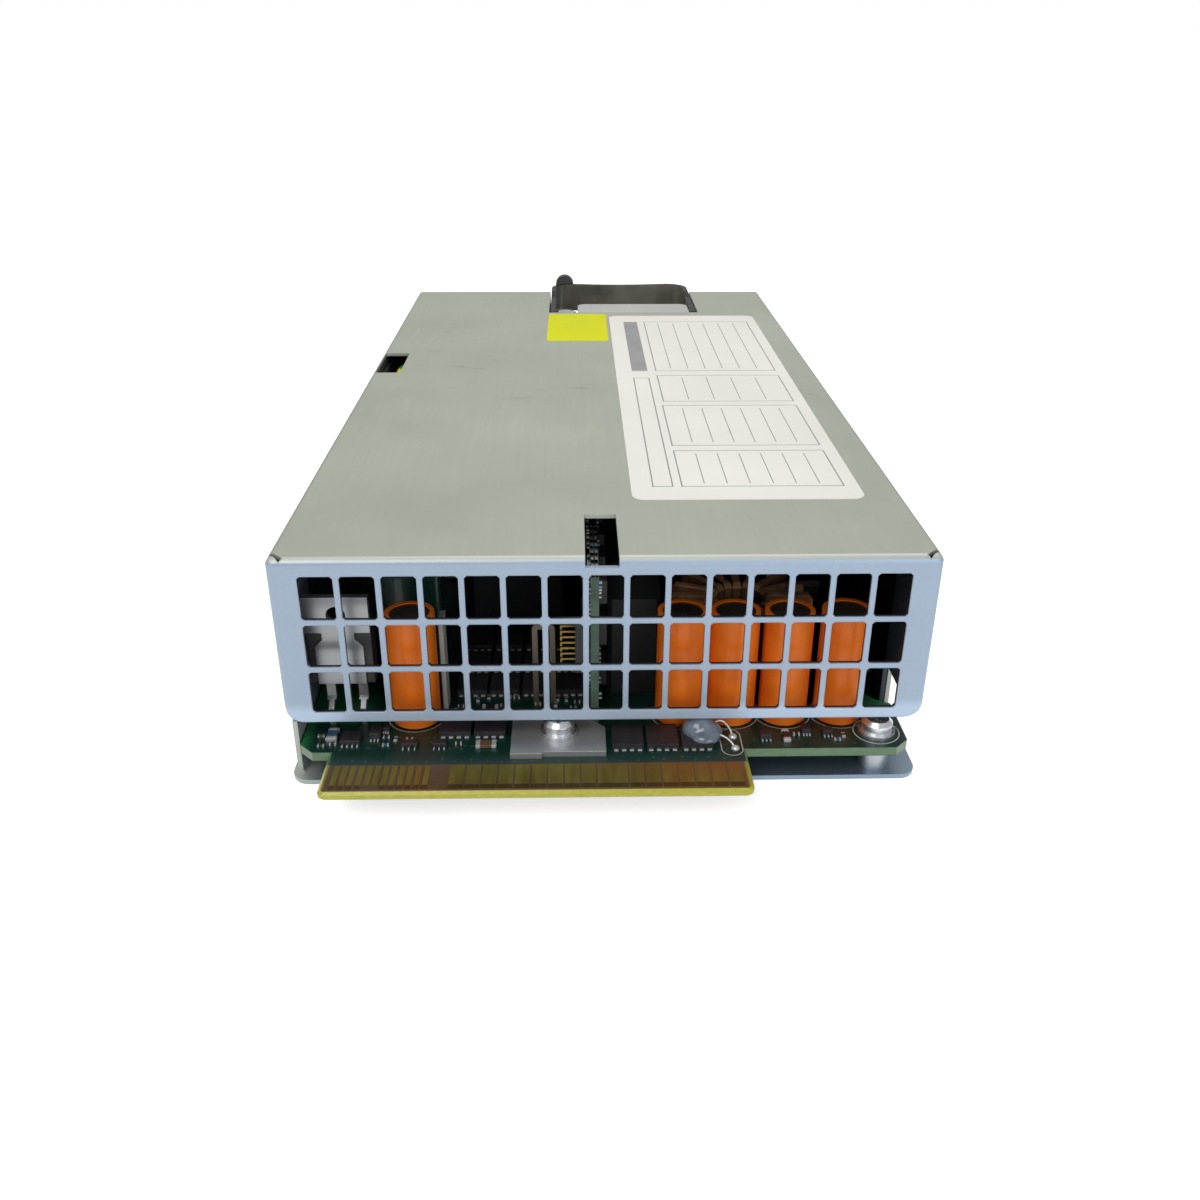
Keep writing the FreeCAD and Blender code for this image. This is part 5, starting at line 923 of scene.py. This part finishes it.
# ---- The upright board's small parts
EDGE_PARTS, EDGE_START, EDGE_PITCH, EDGE_INSET = 8, 5.6, 2.7, 0.15 * MM
EDGE_HALF, EDGE_TALL, EDGE_CAP, EDGE_CAP_TALL = 0.45 * MM, 0.5 * MM, 0.35 * MM, 0.54 * MM
FACE_TRIES, FACE_ALONG, FACE_DOWN, FACE_SPACING = 120, (0.6, 30), (0.5, 24), 0.5 * MM
FACE_THICK, FACE_HALF, FACE_TALL, FACE_MARGIN = 0.45 * MM, 0.25 * MM, 0.45 * MM, 0.05 * MM
FACE_CAP_AT, FACE_CAP_HALF, FACE_LAP = 0.38 * MM, 0.12 * MM, 0.02 * MM
DOT_ROWS, DOT_COLUMNS, DOT_SHARE, DOT_SPACING = 9, 26, 0.55, 0.15 * MM
DOT_START, DOT_PITCH, DOT_JITTER, DOT_DROP, DOT_ROW_PITCH = 1.2, 0.62, 0.1, 0.9, 0.66
DOT_HALF, DOT_LIFT = 0.13 * MM, 0.04 * MM


def edge_parts(bodies, ends):
    """Chip capacitors across the board's top edge, below the keying slot."""
    left, right, top = UPRIGHT_LOW.x + EDGE_INSET, UPRIGHT_HIGH.x - EDGE_INSET, UPRIGHT_HIGH.z
    for index in range(EDGE_PARTS):
        y = (EDGE_START + EDGE_PITCH * index) * MM
        add_box(bodies, (left, y - EDGE_HALF, top), (right, y + EDGE_HALF, top + EDGE_TALL))
        for end in (left, right - EDGE_CAP):
            add_box(ends, (end, y - EDGE_HALF, top), (end + EDGE_CAP, y + EDGE_HALF, top + EDGE_CAP_TALL))


def face_part(bodies, ends, face, side, y, z):
    """Adds a chip part with its two ends to one face of the board and gives its footprint there."""
    out = face + side * FACE_THICK
    a, b = min(face, out), max(face, out)
    add_box(bodies, (a, y - FACE_HALF, z - FACE_TALL), (b, y + FACE_HALF, z + FACE_TALL))
    for step in (-1, 1):
        middle = z + step * FACE_CAP_AT
        add_box(ends, (a - FACE_LAP, y - FACE_HALF - FACE_LAP, middle - FACE_CAP_HALF),
                (b + FACE_LAP, y + FACE_HALF + FACE_LAP, middle + FACE_CAP_HALF))
    wide, tall = FACE_HALF + FACE_MARGIN, FACE_TALL + FACE_MARGIN
    return footprint(y - wide, z - tall, y + wide, z + tall)


def plated_dots(ends, face, taken):
    """Rows of plated dots on the board's left face, with gaps among them."""
    for row in range(DOT_ROWS):
        for column in range(DOT_COLUMNS):
            y = UPRIGHT_LOW.y + (DOT_START + DOT_PITCH * column + rng.uniform(-DOT_JITTER, DOT_JITTER)) * MM
            z = UPRIGHT_HIGH.z - (DOT_DROP + DOT_ROW_PITCH * row) * MM
            if rng.random() < DOT_SHARE and not crowded(y, z, taken, DOT_SPACING):
                add_box(ends, (face - DOT_LIFT, y - DOT_HALF, z - DOT_HALF),
                        (face, y + DOT_HALF, z + DOT_HALF))


def daughter_details():
    """Small bright parts on the top edge and both faces of the upright board, and dots on its left face."""
    ends, bodies = bmesh.new(), bmesh.new()
    edge_parts(bodies, ends)
    taken = [footprint(a.y, a.z, b.y, b.z)
             for node in ("daughter_board_chips", "header_block") for a, b in islands(node)]
    for side, face in ((-1, UPRIGHT_LOW.x), (1, UPRIGHT_HIGH.x)):
        for _ in range(FACE_TRIES):
            y = UPRIGHT_LOW.y + rng.uniform(*FACE_ALONG) * MM
            z = UPRIGHT_HIGH.z - rng.uniform(*FACE_DOWN) * MM
            if not crowded(y, z, taken, FACE_SPACING):
                taken.append(face_part(bodies, ends, face, side, y, z))
    plated_dots(ends, UPRIGHT_LOW.x, taken)
    add_mesh("daughter_tiny_parts", bodies, small_parts_material("daughter_mix"))
    add_mesh("daughter_part_ends", ends, SOLDER)


# ---- Stage
WHITE = (1, 1, 1)
FLOOR_SIZE, FLOOR_TONE, FLOOR_ROUGHNESS, FLOOR_LIFT = 60, (0.85, 0.85, 0.85), 0.9, 0.62
WORLD_LIGHT, WORLD_SEEN = 0.55, 1.0
# Each lamp's name, place, target, size, power and colour.
LAMPS = (
    ("key", (-0.4, -0.7, 0.9), (0, 0.05, 0), (0.6, 0.6), 5, (1.0, 0.99, 0.97)),
    ("fill", (0.5, -0.9, 0.3), (0, 0, 0.02), (0.6, 0.5), 3.2, (0.74, 0.87, 1.0)),
    ("top", (0.1, 0.5, 1.0), (0, 0.1, 0), (0.8, 0.8), 3, WHITE),
)
SENSOR, LENS, CLIP_START = 36, 34.037, 0.005
CAMERA_PLACE, PITCH, YAW, ROLL = (-0.00466, -0.153113, 0.108863), 0.465, -0.024, 0.004


def rays(tree, first, second):
    """1 for the light's rays of two kinds, else 0."""
    path = tree.nodes.new("ShaderNodeLightPath")
    seen = tree.nodes.new("ShaderNodeMath")
    seen.operation = "MAXIMUM"
    tree.links.new(path.outputs[first], seen.inputs[0])
    tree.links.new(path.outputs[second], seen.inputs[1])
    return seen.outputs[0]


def floor():
    bpy.ops.mesh.primitive_plane_add(size=FLOOR_SIZE, location=(0, 0, 0))
    ground = bpy.context.object
    ground.name = "floor"
    made = bpy.data.materials.new("pale_floor")
    made.use_nodes = True
    tree = made.node_tree
    bsdf = tree.nodes["Principled BSDF"]
    bsdf.inputs["Base Color"].default_value = (*FLOOR_TONE, 1)
    bsdf.inputs["Roughness"].default_value = FLOOR_ROUGHNESS
    bsdf.inputs["Emission Color"].default_value = (*WHITE, 1)
    lift = tree.nodes.new("ShaderNodeMath")
    lift.operation = "MULTIPLY"
    lift.inputs[1].default_value = FLOOR_LIFT
    tree.links.new(rays(tree, "Is Camera Ray", "Is Glossy Ray"), lift.inputs[0])
    tree.links.new(lift.outputs[0], bsdf.inputs["Emission Strength"])
    ground.data.materials.append(made)


def world():
    made = bpy.data.worlds.new("studio")
    bpy.context.scene.world = made
    made.use_nodes = True
    tree = made.node_tree
    background = tree.nodes["Background"]
    background.inputs["Color"].default_value = (*WHITE, 1)
    strength = tree.nodes.new("ShaderNodeMapRange")
    strength.inputs["To Min"].default_value = WORLD_LIGHT
    strength.inputs["To Max"].default_value = WORLD_SEEN
    tree.links.new(rays(tree, "Is Camera Ray", "Is Transmission Ray"), strength.inputs["Value"])
    tree.links.new(strength.outputs[0], background.inputs["Strength"])


def lamp(name, place, target, size, power, color):
    data = bpy.data.lights.new(name, "AREA")
    data.shape = "RECTANGLE"
    data.size, data.size_y = size
    data.energy = power
    data.color = color
    made = add_object(name, data)
    made.location = place
    made.rotation_euler = (Vector(target) - Vector(place)).to_track_quat("-Z", "Y").to_euler()


def camera():
    data = bpy.data.cameras.new("camera")
    data.sensor_width = SENSOR
    data.lens = LENS
    data.clip_start = CLIP_START
    made = add_object("camera", data)
    c, s = math.cos(YAW), math.sin(YAW)
    ahead = Vector((-s * math.cos(PITCH), c * math.cos(PITCH), -math.sin(PITCH)))
    across = Vector((c, s, 0))
    above = Vector((-s * math.sin(PITCH), c * math.sin(PITCH), math.cos(PITCH)))
    right = math.cos(ROLL) * across + math.sin(ROLL) * above
    up = math.cos(ROLL) * above - math.sin(ROLL) * across
    turn = Matrix((right, up, -ahead)).transposed().to_4x4()
    made.matrix_world = Matrix.Translation(CAMERA_PLACE) @ turn
    bpy.context.scene.camera = made


add_sticker("white_sticker", WHITE_SIDES, WHITE_CORNER, WHITE_LABEL)
add_sticker("yellow_sticker", YELLOW_SIDES, YELLOW_CORNER, YELLOW_LABEL)
sticker_rules()
silk_screen()
package_pads()
surface_parts()
tiny_parts()
through_holes()
sealant()
sensor_wires()
solder_joints()
daughter_details()
floor()
world()
for row in LAMPS:
    lamp(*row)
camera()
bpy.context.scene.view_settings.view_transform = "Standard"
